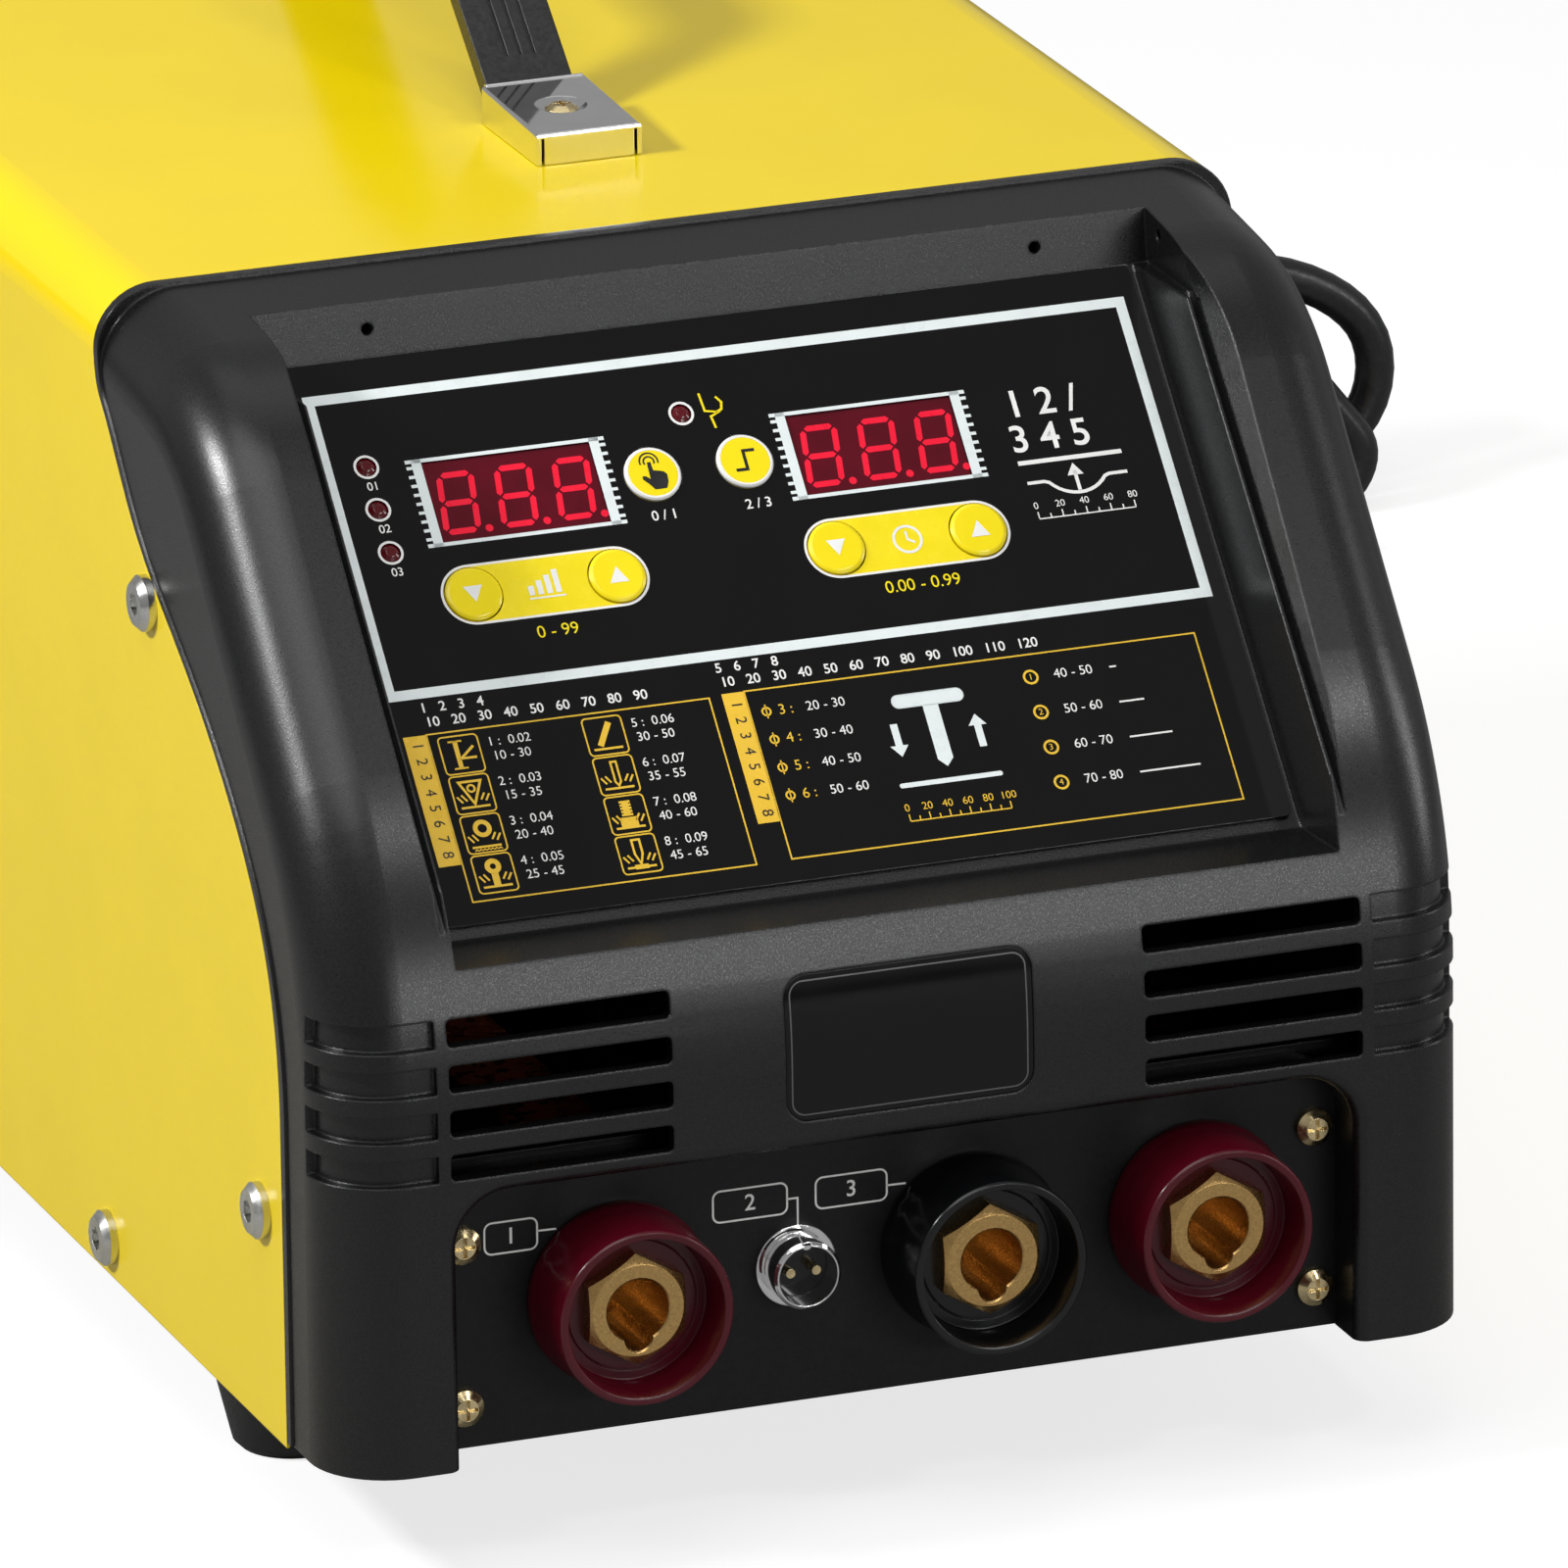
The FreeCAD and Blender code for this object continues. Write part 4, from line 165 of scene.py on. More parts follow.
def finish(name, tone, rough, grain=None, mottle=0.12, wander=0.08, edge=0.3, cell=9.0,
           **values):
    """A surface whose colour and roughness wander a little; grain is (cell mm, depth mm)."""
    material, shader = new_material(name)
    set_shader(shader, Roughness=rough, **values)
    patches = object_noise(material, cell, PATCH_DETAIL)
    darker = colour(*(channel * (1 - mottle) for channel in tone))
    lighter = colour(*(min(1.0, channel * (1 + mottle)) for channel in tone))
    mix_colours(material, shader, spread(material, patches, 0.0, 1.0), darker, lighter)
    clouds = object_noise(material, cell / 2, CLOUD_DETAIL)
    links = material.node_tree.links
    rough_low = max(LEAST_ROUGH, rough - wander)
    links.new(spread(material, clouds, rough_low, rough + wander), shader.inputs["Roughness"])
    if grain:
        grain_cell, depth = grain
        relief = object_noise(material, grain_cell, GRAIN_DETAIL)
        add_relief(material, shader, edge, relief, depth)
    else:
        add_relief(material, shader, edge)
    return material


COVER_HALF = 126.8
COVER_TOP = 244.2
COVER_CORNER = 13.5
COVER_SKIN = 12.9
# Painted shade: near black for the cover's inside face, standing in for the shade inside the case
PAINTED_INSIDE_SHADE = colour(0.02, 0.02, 0.021)


def cover_paint():
    """Gloss yellow outside; the sheet's inside face is painted near black as painted shade inside the
    case.
    """
    material = finish("yellow_gloss_powder_coat", (0.85, 0.635, 0.002), 0.17, (3.4, 0.01), 0.012,
                      0.02, 0.5, 40.0, Specular_IOR_Level=0.34)
    nodes = material.node_tree.nodes
    links = material.node_tree.links

    def maths(operation, *values):
        node = nodes.new("ShaderNodeMath")
        node.operation = operation
        for socket, value in zip(node.inputs, values):
            if isinstance(value, float):
                socket.default_value = value
            else:
                links.new(value, socket)
        return node.outputs["Value"]

    where = nodes.new("ShaderNodeTexCoord")
    split = nodes.new("ShaderNodeSeparateXYZ")
    links.new(where.outputs["Object"], split.inputs["Vector"])
    across = maths("SUBTRACT", maths("ABSOLUTE", split.outputs["X"]),
                   (COVER_HALF - COVER_CORNER) * MM)
    up = maths("SUBTRACT", split.outputs["Z"], (COVER_TOP - COVER_CORNER) * MM)
    across, up = maths("MAXIMUM", across, 0.0), maths("MAXIMUM", up, 0.0)
    squares = (maths("MULTIPLY", side, side) for side in (across, up))
    reach = maths("SQRT", maths("ADD", *squares))
    outside = maths("GREATER_THAN", reach, COVER_SKIN * MM)
    shader = nodes["Principled BSDF"]
    paint = shader.inputs["Base Color"].links[0].from_socket
    # The inside face takes the painted shade and the outer skin the yellow paint
    mix_colours(material, shader, outside, PAINTED_INSIDE_SHADE, paint)
    return material


materials = {
    "yellow_paint": cover_paint(),
    "black_plastic": finish("fine_grained_black_moulding", (0.004, 0.0041, 0.0044), 0.3,
                            (0.33, 0.026), 0.4, 0.05, 0.8, 0.6, Specular_IOR_Level=0.47),
    "black_paint": finish("satin_black_panel_paint", (0.004, 0.004, 0.0043), 0.4, (0.42, 0.02),
                          0.3, 0.05, 0.4, 1.2, Specular_IOR_Level=0.26),
    "black_gloss": finish("gloss_black_printed_film", (0.0026, 0.0023, 0.0024), 0.1, None,
                          0.06, 0.015, 0.2, 30.0, Specular_IOR_Level=0.34),
    "yellow_key": finish("yellow_domed_key", (0.9, 0.72, 0.003), 0.2, None, 0.02, 0.03, 0.6, 20.0),
    "red_display": finish("dark_red_display_window", (0.095, 0.0018, 0.009), 0.12, None, 0.1,
                          0.02, Specular_IOR_Level=0.3),
    "red_lamp": finish("dark_red_lamp_lens", (0.09, 0.002, 0.005), 0.08, None, 0.1, 0.02),
    "dark_red_plastic": finish("dark_red_socket_moulding", (0.075, 0.002, 0.008), 0.22, None,
                               0.05, 0.03, 0.35, 6.0, Specular_IOR_Level=0.4),
    "black_socket": finish("black_socket_moulding", (0.003, 0.0032, 0.0036), 0.2, None,
                           0.08, 0.03, 0.35, 6.0, Specular_IOR_Level=0.45),
    "brass": finish("machined_brass", (0.56, 0.35, 0.13), 0.29, (0.2, 0.004), 0.1, 0.05, 0.2,
                    0.8, Metallic=1.0),
    "chrome": finish("polished_chrome", (0.8, 0.8, 0.8), 0.06, None, 0.03, 0.02, 0.4, 9.0,
                     Metallic=1.0),
    "zinc_steel": finish("yellow_zinc_plate", (0.72, 0.58, 0.32), 0.24, (0.6, 0.008), 0.2, 0.08,
                         0.15, 3.0, Metallic=1.0),
    "steel": finish("plain_plated_steel", (0.62, 0.62, 0.6), 0.26, (0.7, 0.006), 0.12, 0.08,
                    Metallic=1.0),
    "rubber": finish("black_rubber", (0.009, 0.009, 0.009), 0.55, (0.9, 0.05), 0.2, 0.08, 0.8, 2.0),
    "strap_plastic": finish("satin_strap_moulding", (0.014, 0.014, 0.0145), 0.34, (0.8, 0.02),
                            0.2, 0.06, 0.5, 2.0),
    "board": finish("green_solder_resist", (0.01, 0.08, 0.03), 0.3, (1.2, 0.01)),
    "switch_plastic": finish("black_switch_moulding", (0.01, 0.01, 0.011), 0.35, (0.6, 0.02)),
    "lamination": finish("varnished_laminations", (0.1, 0.09, 0.08), 0.4, (0.6, 0.03)),
    "copper": finish("bare_copper", (0.72, 0.3, 0.16), 0.3, (0.9, 0.01), 0.15, 0.1, Metallic=1.0),
    "aluminium": finish("extruded_aluminium", (0.72, 0.73, 0.74), 0.34, (0.8, 0.008), 0.08, 0.08,
                        Metallic=1.0),
    "can_sleeve": finish("blue_shrink_sleeve", (0.008, 0.02, 0.09), 0.25, (3.0, 0.02)),
    "module_plastic": finish("dark_module_moulding", (0.02, 0.02, 0.021), 0.4, (0.7, 0.015)),
    "cord_jacket": finish("black_cord_jacket", (0.008, 0.008, 0.009), 0.34, (1.1, 0.03), 0.2, 0.06,
                          0.2, 2.0),
}


def printed_ink(shade, tone, rough=0.3, mottle=0.03):
    return finish(shade + "_printed_ink", tone, rough, None, mottle, 0.04, 0.05)


pale_ink = printed_ink("pale", (0.74, 0.8, 0.8))
white_ink = printed_ink("white", (0.82, 0.82, 0.8))
yellow_ink = printed_ink("yellow", (0.9, 0.72, 0.003), 0.26)
amber_ink = printed_ink("amber", (0.8, 0.5, 0.03))
grey_ink = printed_ink("grey", (0.1, 0.1, 0.1), mottle=0.05)
black_ink = printed_ink("black", (0.006, 0.006, 0.006), mottle=0.05)
lit_red = finish("lit_red_segment", (0.72, 0.005, 0.03), 0.3, None, 0.04, 0.03, 0.05,
                 Specular_IOR_Level=0.3, Emission_Color=(1.0, 0.008, 0.045, 1.0),
                 Emission_Strength=0.16)


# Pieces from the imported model

def link(piece):
    bpy.context.scene.collection.objects.link(piece)
    return piece


def dress(piece, slot, material=None):
    """Gives a piece its one material, the named slot's material when none is given."""
    piece.data.materials.clear()
    piece.data.materials.append(material or materials[slot])
    return piece


def new_piece(name, form, slot, material, body=CASE, matrix=None):
    """A mesh piece from a bmesh in millimetres, put in its place and riding on a body."""
    mesh = bpy.data.meshes.new(name)
    form.to_mesh(mesh)
    form.free()
    mesh.transform(matrix or datum_matrix)
    piece = link(bpy.data.objects.new(name, mesh))
    dress(piece, slot, material)
    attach(piece, body)
    return piece


def made_mesh(maker):
    """The mesh that an object comes out as; the object itself is removed."""
    bpy.context.view_layer.update()
    seen = maker.evaluated_get(bpy.context.evaluated_depsgraph_get())
    mesh = bpy.data.meshes.new_from_object(seen)
    bpy.data.objects.remove(maker)
    return mesh


def ring(form, centre, radius, forwards, count):
    """Vertices round a front-to-back axis, so far forwards of the connector panel's face."""
    turn = 2 * math.pi / count
    return [form.verts.new((centre[0] + radius * math.cos(turn * step), -forwards,
                            centre[1] + radius * math.sin(turn * step)))
            for step in range(count)]


def skin(form, loops, closed=False):
    """Faces from each loop of vertices to the next, and from the last to the first if closed."""
    for first, second in zip(loops, loops[1:] + loops[:1] if closed else loops[1:]):
        for step in range(len(first)):
            after = (step + 1) % len(first)
            form.faces.new([first[step], first[after], second[after], second[step]])
    bmesh.ops.recalc_face_normals(form, faces=form.faces)


def smooth(piece, angle):
    """Smooth shading with edges kept sharp where faces meet at more than the angle."""
    piece.data.shade_smooth()
    piece.data.set_sharp_from_angle(angle=math.radians(angle))


for node, part in frame["nodes"].items():
    part.data.materials.clear()
    part.data.materials.append(materials[node_slot[node]])


# Trees that set a shape out many times

def open_tree(name, sizes):
    """A tree that takes a shape, the named sizes and a material."""
    tree = bpy.data.node_groups.new(name, "GeometryNodeTree")
    face = tree.interface
    face.new_socket("Geometry", in_out="INPUT", socket_type="NodeSocketGeometry")
    for label, kind in sizes.items():
        face.new_socket(label, in_out="INPUT", socket_type="NodeSocket" + kind)
    face.new_socket("Material", in_out="INPUT", socket_type="NodeSocketMaterial")
    face.new_socket("Geometry", in_out="OUTPUT", socket_type="NodeSocketGeometry")
    return tree, tree.nodes.new("NodeGroupInput").outputs


def close_tree(tree, inputs, points, turn=None):
    """The shape on every point, made real and given its material."""
    join = tree.links.new
    copies = tree.nodes.new("GeometryNodeInstanceOnPoints")
    join(points, copies.inputs["Points"])
    join(inputs["Geometry"], copies.inputs["Instance"])
    if turn:
        join(turn, copies.inputs["Rotation"])
    real = tree.nodes.new("GeometryNodeRealizeInstances")
    join(copies.outputs["Instances"], real.inputs["Geometry"])
    coat = tree.nodes.new("GeometryNodeSetMaterial")
    join(real.outputs["Geometry"], coat.inputs["Geometry"])
    join(inputs["Material"], coat.inputs["Material"])
    join(coat.outputs["Geometry"], tree.nodes.new("NodeGroupOutput").inputs["Geometry"])
    return tree


def row_tree():
    """Copies in a straight row: a count and the step from one to the next."""
    tree, inputs = open_tree("row_of_copies", {"Count": "Int", "Step": "Vector"})
    line = tree.nodes.new("GeometryNodeMeshLine")
    tree.links.new(inputs["Count"], line.inputs["Count"])
    tree.links.new(inputs["Step"], line.inputs["Offset"])
    return close_tree(tree, inputs, line.outputs["Mesh"])


def ring_tree():
    """Copies round a circle about Z, each turned to face outwards."""
    tree, inputs = open_tree("ring_of_copies", {"Count": "Int", "Radius": "Float"})
    join = tree.links.new
    circle = tree.nodes.new("GeometryNodeMeshCircle")
    join(inputs["Count"], circle.inputs["Vertices"])
    join(inputs["Radius"], circle.inputs["Radius"])
    share = tree.nodes.new("ShaderNodeMath")
    share.operation = "DIVIDE"
    share.inputs[0].default_value = 2 * math.pi
    join(inputs["Count"], share.inputs[1])
    angle = tree.nodes.new("ShaderNodeMath")
    angle.operation = "MULTIPLY"
    join(tree.nodes.new("GeometryNodeInputIndex").outputs["Index"], angle.inputs[0])
    join(share.outputs["Value"], angle.inputs[1])
    turn = tree.nodes.new("FunctionNodeAxisAngleToRotation")
    join(angle.outputs["Value"], turn.inputs["Angle"])
    return close_tree(tree, inputs, circle.outputs["Mesh"], turn.outputs["Rotation"])


ROW_TREE = row_tree()
RING_TREE = ring_tree()


def repeat(name, form, tree, slot, material, matrix, **sizes):
    """The shape in form, in millimetres, set out by a tree and kept as one mesh piece."""
    mesh = bpy.data.meshes.new(name + "_shape")
    form.to_mesh(mesh)
    form.free()
    maker = link(bpy.data.objects.new(name + "_shape", mesh))
    sizes["Material"] = material
    modifier = maker.modifiers.new(name, "NODES")
    modifier.node_group = tree
    for socket in tree.interface.items_tree:
        if socket.in_out == "INPUT" and socket.name in sizes:
            modifier[socket.identifier] = sizes[socket.name]
    made = made_mesh(maker)
    made.name = name
    made.transform(matrix)
    piece = link(bpy.data.objects.new(name, made))
    dress(piece, slot, material)
    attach(piece, CASE)
    return piece


# Flat print: places are millimetres across and down a printed face

MITRE_LEAST = 0.4


def patch(form, points, height=INK):
    """A flat area of ink whose outline is given, facing outwards."""
    area = sum(a[0] * b[1] - b[0] * a[1] for a, b in zip(points, points[1:] + points[:1]))
    ordered = points if area < 0 else points[::-1]
    form.faces.new([form.verts.new((across, -down, height)) for across, down in ordered])


def stroke(form, points, width, height=INK, closed=False):
    """A line of ink with mitred corners."""
    count = len(points)
    sides = []
    for index, point in enumerate(points):
        here = Vector(point)
        before = Vector(points[index - 1]) if closed or index else None
        after = Vector(points[(index + 1) % count]) if closed or index + 1 < count else None
        back = (here - before).normalized() if before else (after - here).normalized()
        ahead = (after - here).normalized() if after else back
        normal = Vector((-back.y - ahead.y, back.x + ahead.x)).normalized()
        reach = width / 2 / max(MITRE_LEAST, normal.dot(Vector((-back.y, back.x))))
        sides.append((here + normal * reach, here - normal * reach))
    last = count if closed else count - 1
    for index in range(last):
        left, right = sides[index]
        left_next, right_next = sides[(index + 1) % count]
        patch(form, [tuple(left), tuple(left_next), tuple(right_next), tuple(right)], height)


def bar(form, left, top, right, bottom, height=INK):
    patch(form, [(left, top), (right, top), (right, bottom), (left, bottom)], height)


def box(form, place_in_print, width):
    """A line round a box, mitred at its corners."""
    left, top, right, bottom = place_in_print
    stroke(form, [(left, top), (right, top), (right, bottom), (left, bottom)], width, closed=True)


def arc(centre, radius, first, last, count):
    """Points on an arc; angles in degrees from the right, turning downwards."""
    points = []
    for step in range(count + 1):
        angle = math.radians(first + (last - first) * step / count)
        points.append((centre[0] + radius * math.cos(angle), centre[1] + radius * math.sin(angle)))
    return points


def disc(form, centre, radius, height, count):
    patch(form, arc(centre, radius, 0, 360, count)[:-1], height)


def hoop(form, centre, inner, outer, height, count):
    middle = arc(centre, (inner + outer) / 2, 0, 360, count)[:-1]
    stroke(form, middle, outer - inner, height, True)


def rounded_box(left, top, right, bottom, radius, count=6):
    corners = [((right - radius, bottom - radius), 0), ((left + radius, bottom - radius), 90),
               ((left + radius, top + radius), 180), ((right - radius, top + radius), 270)]
    points = []
    for centre, turn in corners:
        points += arc(centre, radius, turn, turn + 90, count)
    return points


def figures(form, words, across, down, size, align="CENTER", bold=0.0, height=INK, turn=0.0):
    """Plain figures in outline type; across and down place their middle or left end."""
    curve = bpy.data.curves.new("figures", "FONT")
    curve.body = words
    curve.size = size
    curve.align_x = align
    curve.align_y = "CENTER"
    curve.offset = bold
    text = link(bpy.data.objects.new("figures", curve))
    mesh = made_mesh(text)
    mesh.transform(Matrix.Translation((across, -down, height))
                   @ Matrix.Rotation(math.radians(turn), 4, "Z"))
    form.from_mesh(mesh)
    bpy.data.curves.remove(curve)
    bpy.data.meshes.remove(mesh)


# Control panel: places are millimetres across from its middle and down from its top edge

FRAME_LINE = 2.3
FRAME = (-91.45, 0.0, 91.45, 71.4)
DIGIT_WIDTH = 8.3
DIGIT_TALL = 14.4
DIGIT_THICK = 1.35
DIGIT_GAP = 0.4
DIGIT_PITCH = 12.7
DIGIT_LEAN = 0.12
DIGITS_START = 0.8
DIGITS_DROP = 0.55
BAR_POINT = DIGIT_THICK * 0.45
BAR_TIP = BAR_POINT * 0.1
DOT_PLACE = (1.75, 0.6)
DOT_RADIUS = 0.85
DISPLAY_WINDOWS = [(-70.0, 18.1, -33.0, 36.9), (10.5, 17.8, 47.3, 36.6)]
DISPLAY_SUNK = 0.4
DISPLAY_HIGH = 18.8
COMB_TEETH = 9
COMB_PITCH = DISPLAY_HIGH / COMB_TEETH
COMB_BAND = 2.1
COMB_LINE = 0.85
COMB_TOOTH = 1.3
COMB_TOOTH_HALF = 0.36


def digit_strokes():
    """The seven bars of one digit as (start, end) lines inside their box."""
    left, right = DIGIT_THICK / 2, DIGIT_WIDTH - DIGIT_THICK / 2
    mid, low = DIGIT_TALL / 2, DIGIT_TALL - DIGIT_THICK / 2
    level = [((left + DIGIT_GAP, down), (right - DIGIT_GAP, down)) for down in (left, mid, low)]
    return level + [((across, top + DIGIT_GAP), (across, bottom - DIGIT_GAP))
                    for top, bottom in ((left, mid), (mid, low)) for across in (left, right)]


def make_digits():
    """Three leaning digits in each display, with all their bars and points lit."""
    form = bmesh.new()
    height = INK - DISPLAY_SUNK
    for left, top, _, bottom in DISPLAY_WINDOWS:
        base = (top + bottom) / 2 + DIGITS_DROP + DIGIT_TALL / 2
        for number in range(3):
            start = left + DIGITS_START + DIGIT_PITCH * number
            for first, second in digit_strokes():
                a, b = Vector(first), Vector(second)
                line = (b - a).normalized()
                along, tip = line * BAR_POINT, line * BAR_TIP
                side = Vector((-line.y, line.x)) * DIGIT_THICK / 2
                bar_outline = [a - tip, a + along + side, b - along + side, b + tip,
                               b - along - side, a + along - side]
                patch(form, [(start + p.x + (DIGIT_TALL - p.y) * DIGIT_LEAN,
                              base - DIGIT_TALL + p.y) for p in bar_outline], height)
            across, rise = DOT_PLACE
            disc(form, (start + DIGIT_WIDTH + across, base - rise), DOT_RADIUS, height, 20)
    new_piece("display_segments", form, "red_display", lit_red, matrix=panel_matrix)


def make_display_frames(form):
    """A pale band down each side of a display, with a comb of short ticks outside it."""
    teeth = bmesh.new()
    for left, top, right, bottom in DISPLAY_WINDOWS:
        first_tooth = top + COMB_PITCH / 2
        for edge, outward in ((left, -1), (right, 1)):
            band = edge + outward * COMB_BAND
            bar(form, min(edge, band), top - COMB_LINE, max(edge, band), bottom + COMB_LINE)
            tip = band + outward * COMB_TOOTH
            bar(teeth, min(band, tip), first_tooth - COMB_TOOTH_HALF, max(band, tip),
                first_tooth + COMB_TOOTH_HALF)
        for line in (top - COMB_LINE, bottom):
            bar(form, left - COMB_BAND - COMB_TOOTH, line, right + COMB_BAND + COMB_TOOTH,
                line + COMB_LINE)
    repeat("display_combs", teeth, ROW_TREE, "black_gloss", pale_ink, panel_matrix,
           Count=COMB_TEETH, Step=(0.0, -COMB_PITCH, 0.0))


LAMP_PLACES = [(-81.8, 17.6), (-81.8, 27.6), (-81.7, 37.7), (-11.5, 14.3)]
LAMP_HOOP = (2.2, 2.75)
LAMP_FIGURES = (0.3, 4.6, 2.7)
ROUND_KEYS = {"auto_manual_key": (-21.4, 27.4), "mode_key": (-0.9, 27.1)}
PILL_ROWS = 49.5
PILLS = {"power": (-66.7, -35.1), "time": (13.4, 45.0)}
KEY_HOLE = 6.4
KEY_HOLE_DEEP = 1.3
KEY_HOLE_CLEAR = 0.01
PILL_RIM = 0.55


def pill(left, right, radius):
    return (arc((left, PILL_ROWS), radius, 90, 270, 24)
            + arc((right, PILL_ROWS), radius, 270, 450, 24))


def make_pills(yellow, white):
    """Yellow fields with a white outline; each end is cut round for its key."""
    for left, right in PILLS.values():
        stroke(white, pill(left, right, KEY_HOLE + PILL_RIM / 2), PILL_RIM, closed=True)
        patch(yellow, arc((right, PILL_ROWS), KEY_HOLE, 270, 90, 32)
              + arc((left, PILL_ROWS), KEY_HOLE, 90, -90, 32))
        for across in (left, right):
            wall = arc((across, PILL_ROWS), KEY_HOLE - KEY_HOLE_CLEAR, 0, 360, 48)
            for a, b in zip(wall, wall[1:]):
                corners = [(a[0], -a[1], INK), (b[0], -b[1], INK), (b[0], -b[1], -KEY_HOLE_DEEP),
                           (a[0], -a[1], -KEY_HOLE_DEEP)]
                yellow.faces.new([yellow.verts.new(corner) for corner in corners])


SCALE_LINE = 0.28
TICK_HALF = 0.14
TICKS = (1.5, 0.9)
SCALE_FIGURES_UP = 2.9


def scale_row(form, left, right, down, count, size):
    """A printed scale: ticks on a line, long and short by turns, with figures over the long."""
    bar(form, left, down, right, down + SCALE_LINE)
    for step in range(count + 1):
        across = left + (right - left) * step / count
        bar(form, across - TICK_HALF, down - TICKS[step % 2], across + TICK_HALF, down)
        if step % 2 == 0:
            figures(form, str(step * 10), across, down - SCALE_FIGURES_UP, size)


# Tables of marks: bars and low_bars (left, top, right, bottom), hoops (across, down, inner,
# outer, count), lines and loops (width, points) and areas (points)

ICON_WIDE = 8.5
ICON_TALL = 8.6
ICON_ROUND = 0.9
ICON_ROWS = [80.8, 89.95, 99.1, 108.25]
ICON_COLUMNS = [-82.95, -51.5]
THIN = 0.34
ICON_SHEET = ("bar", 1.1, 7.0, 7.4, 7.5)
SPARKS = [("line", 0.42, [(4.25 + side * (1.5 + reach), 5.8 + reach * 0.3),
                          (4.25 + side * (2.5 + reach), 4.3 + reach * 0.3)])
          for side in (-1, 1) for reach in (0.0, 1.0)]
TOOL_ICONS = [
    [("bar", 2.0, 1.0, 5.0, 1.4), ("bar", 3.0, 1.0, 4.0, 7.4), ("bar", 2.0, 7.2, 5.0, 7.6),
     ("line", 0.6, [(7.2, 2.6), (4.0, 5.2), (7.4, 5.2)])],
    [ICON_SHEET, *SPARKS, ("loop", 0.55, [(1.85, 1.4), (6.65, 1.4), (4.25, 6.6)]),
     ("hoop", 4.25, 3.0, 0.55, 1.0, 20)],
    [ICON_SHEET, *SPARKS, ("hoop", 4.25, 3.1, 1.0, 2.0, 32)]
    + [("line", 0.25, [(1.5 + step * 0.85, 8.1), (1.92 + step * 0.85, 7.75),
                       (2.34 + step * 0.85, 8.1)]) for step in range(7)],
    [ICON_SHEET, *SPARKS, ("hoop", 4.25, 2.7, 0.65, 1.75, 32), ("bar", 3.5, 4.3, 5.0, 7.0)],
    [ICON_SHEET, ("line", 1.3, [(2.65, 6.5), (5.65, 1.3)])],
    [ICON_SHEET, *SPARKS,
     ("loop", 0.45, [(3.65, 1.2), (4.85, 1.2), (4.85, 5.8), (4.25, 6.7), (3.65, 5.8)])],
    [ICON_SHEET, *SPARKS]
    + [("bar", 3.05, 1.1 + step * 0.75, 5.45, 1.6 + step * 0.75) for step in range(5)]
    + [("low_bar", 3.5, 1.2, 5.0, 4.6), ("bar", 2.35, 4.9, 6.15, 7.0)],
    [ICON_SHEET, *SPARKS,
     ("loop", 0.5, [(3.4, 1.0), (5.1, 1.0), (5.1, 4.2), (4.25, 6.6), (3.4, 4.2)]),
     ("low_bar", 2.75, 6.65, 5.75, 7.7)],
]
ICON_FIGURES = (2.9, (10.4, 2.3), (10.8, 5.6))

LEFT_BAND = (-90.1, 79.7, -85.0, 109.7)
LEFT_TABLE = (-85.0, 79.7, -23.0, 118.4)
RIGHT_BAND = (-20.2, 79.2, -15.2, 109.4)
RIGHT_TABLE = (-15.2, 79.2, 85.0, 118.2)
RIGHT_TOP = 84.4
CLOSE_ROWS = 6.5
WIDE_ROWS = 8.2
CLOSE_ROW_MARKS = [("hoop", -11.6, 0.0, 0.7, 1.1, 24), ("bar", -11.75, -1.6, -11.45, 1.6)]
CLOSE_NUMBER, CLOSE_NUMBER_SIZE = -9.0, 3.3
CLOSE_RANGE = 1.4
WIDE_ROW_MARKS = [("hoop", 47.0, 0.0, 1.2, 1.7, 28)]
WIDE_NUMBER, WIDE_NUMBER_SIZE = 47.0, 2.0
WIDE_RANGE = 56.4
RANGE_SIZE = 3.0
WIDE_LINE = (64.5, 66.0, 4.0, 0.2)
TOOL_SCALE = (12.4, 34.8, 113.2, 10, 2.4)
MODE_SCALE = (59.0, 80.6, 48.6, 8, 2.2)
TOOL_HEAD = rounded_box(15.6, 84.6, 31.4, 87.6, 1.45)
TOOL_MARKS = [
    ("loop", 0.2, TOOL_HEAD), ("area", TOOL_HEAD),
    ("area", [(22.0, 87.6), (25.4, 87.6), (25.4, 100.2), (23.7, 102.0), (22.0, 100.2)]),
    ("bar", 13.8, 91.0, 15.4, 96.0), ("area", [(12.6, 96.0), (16.6, 96.0), (14.6, 98.6)]),
    ("bar", 31.8, 93.6, 33.4, 98.6), ("area", [(30.6, 93.6), (34.6, 93.6), (32.6, 91.0)]),
    ("area", rounded_box(12.2, 104.6, 35.0, 105.7, 0.5)),
]
MODE_MARKS = [
    ("bar", 57.8, 35.0, 81.0, 36.0),
    ("line", 0.75, [(58.6, 40.3), (62.4, 40.3), *arc((69.6, 35.8), 7.9, 142, 38, 12), (77.0, 40.3),
                    (81.0, 40.3)]),
    ("bar", 69.2, 38.6, 70.0, 43.2), ("area", [(69.6, 36.8), (71.4, 39.6), (67.8, 39.6)]),
]
GUN_MARKS = [
    ("line", 0.5, [(-6.6, 10.2), (-6.3, 14.4), (-3.4, 15.0), (-5.3, 15.8), (-4.9, 18.6)]),
    ("line", 0.5, [(-3.2, 11.4), (-2.2, 12.8), (-2.6, 14.4), (-4.4, 15.2)]),
]
HAND_MARKS = [
    ("area", [(-0.45, -1.9), (0.35, -1.9), (0.45, 0.1), (1.5, 0.3), (2.6, 0.6), (3.2, 1.3),
              (3.1, 3.0), (2.4, 4.5), (-0.2, 4.5), (-1.1, 3.2), (-2.3, 1.9), (-2.2, 1.2),
              (-1.5, 1.2), (-0.6, 2.0)]),
    ("line", 0.36, arc((0.0, -2.0), 1.15, 150, 390, 16)),
    ("line", 0.36, arc((0.0, -2.0), 2.0, 165, 375, 18)),
]
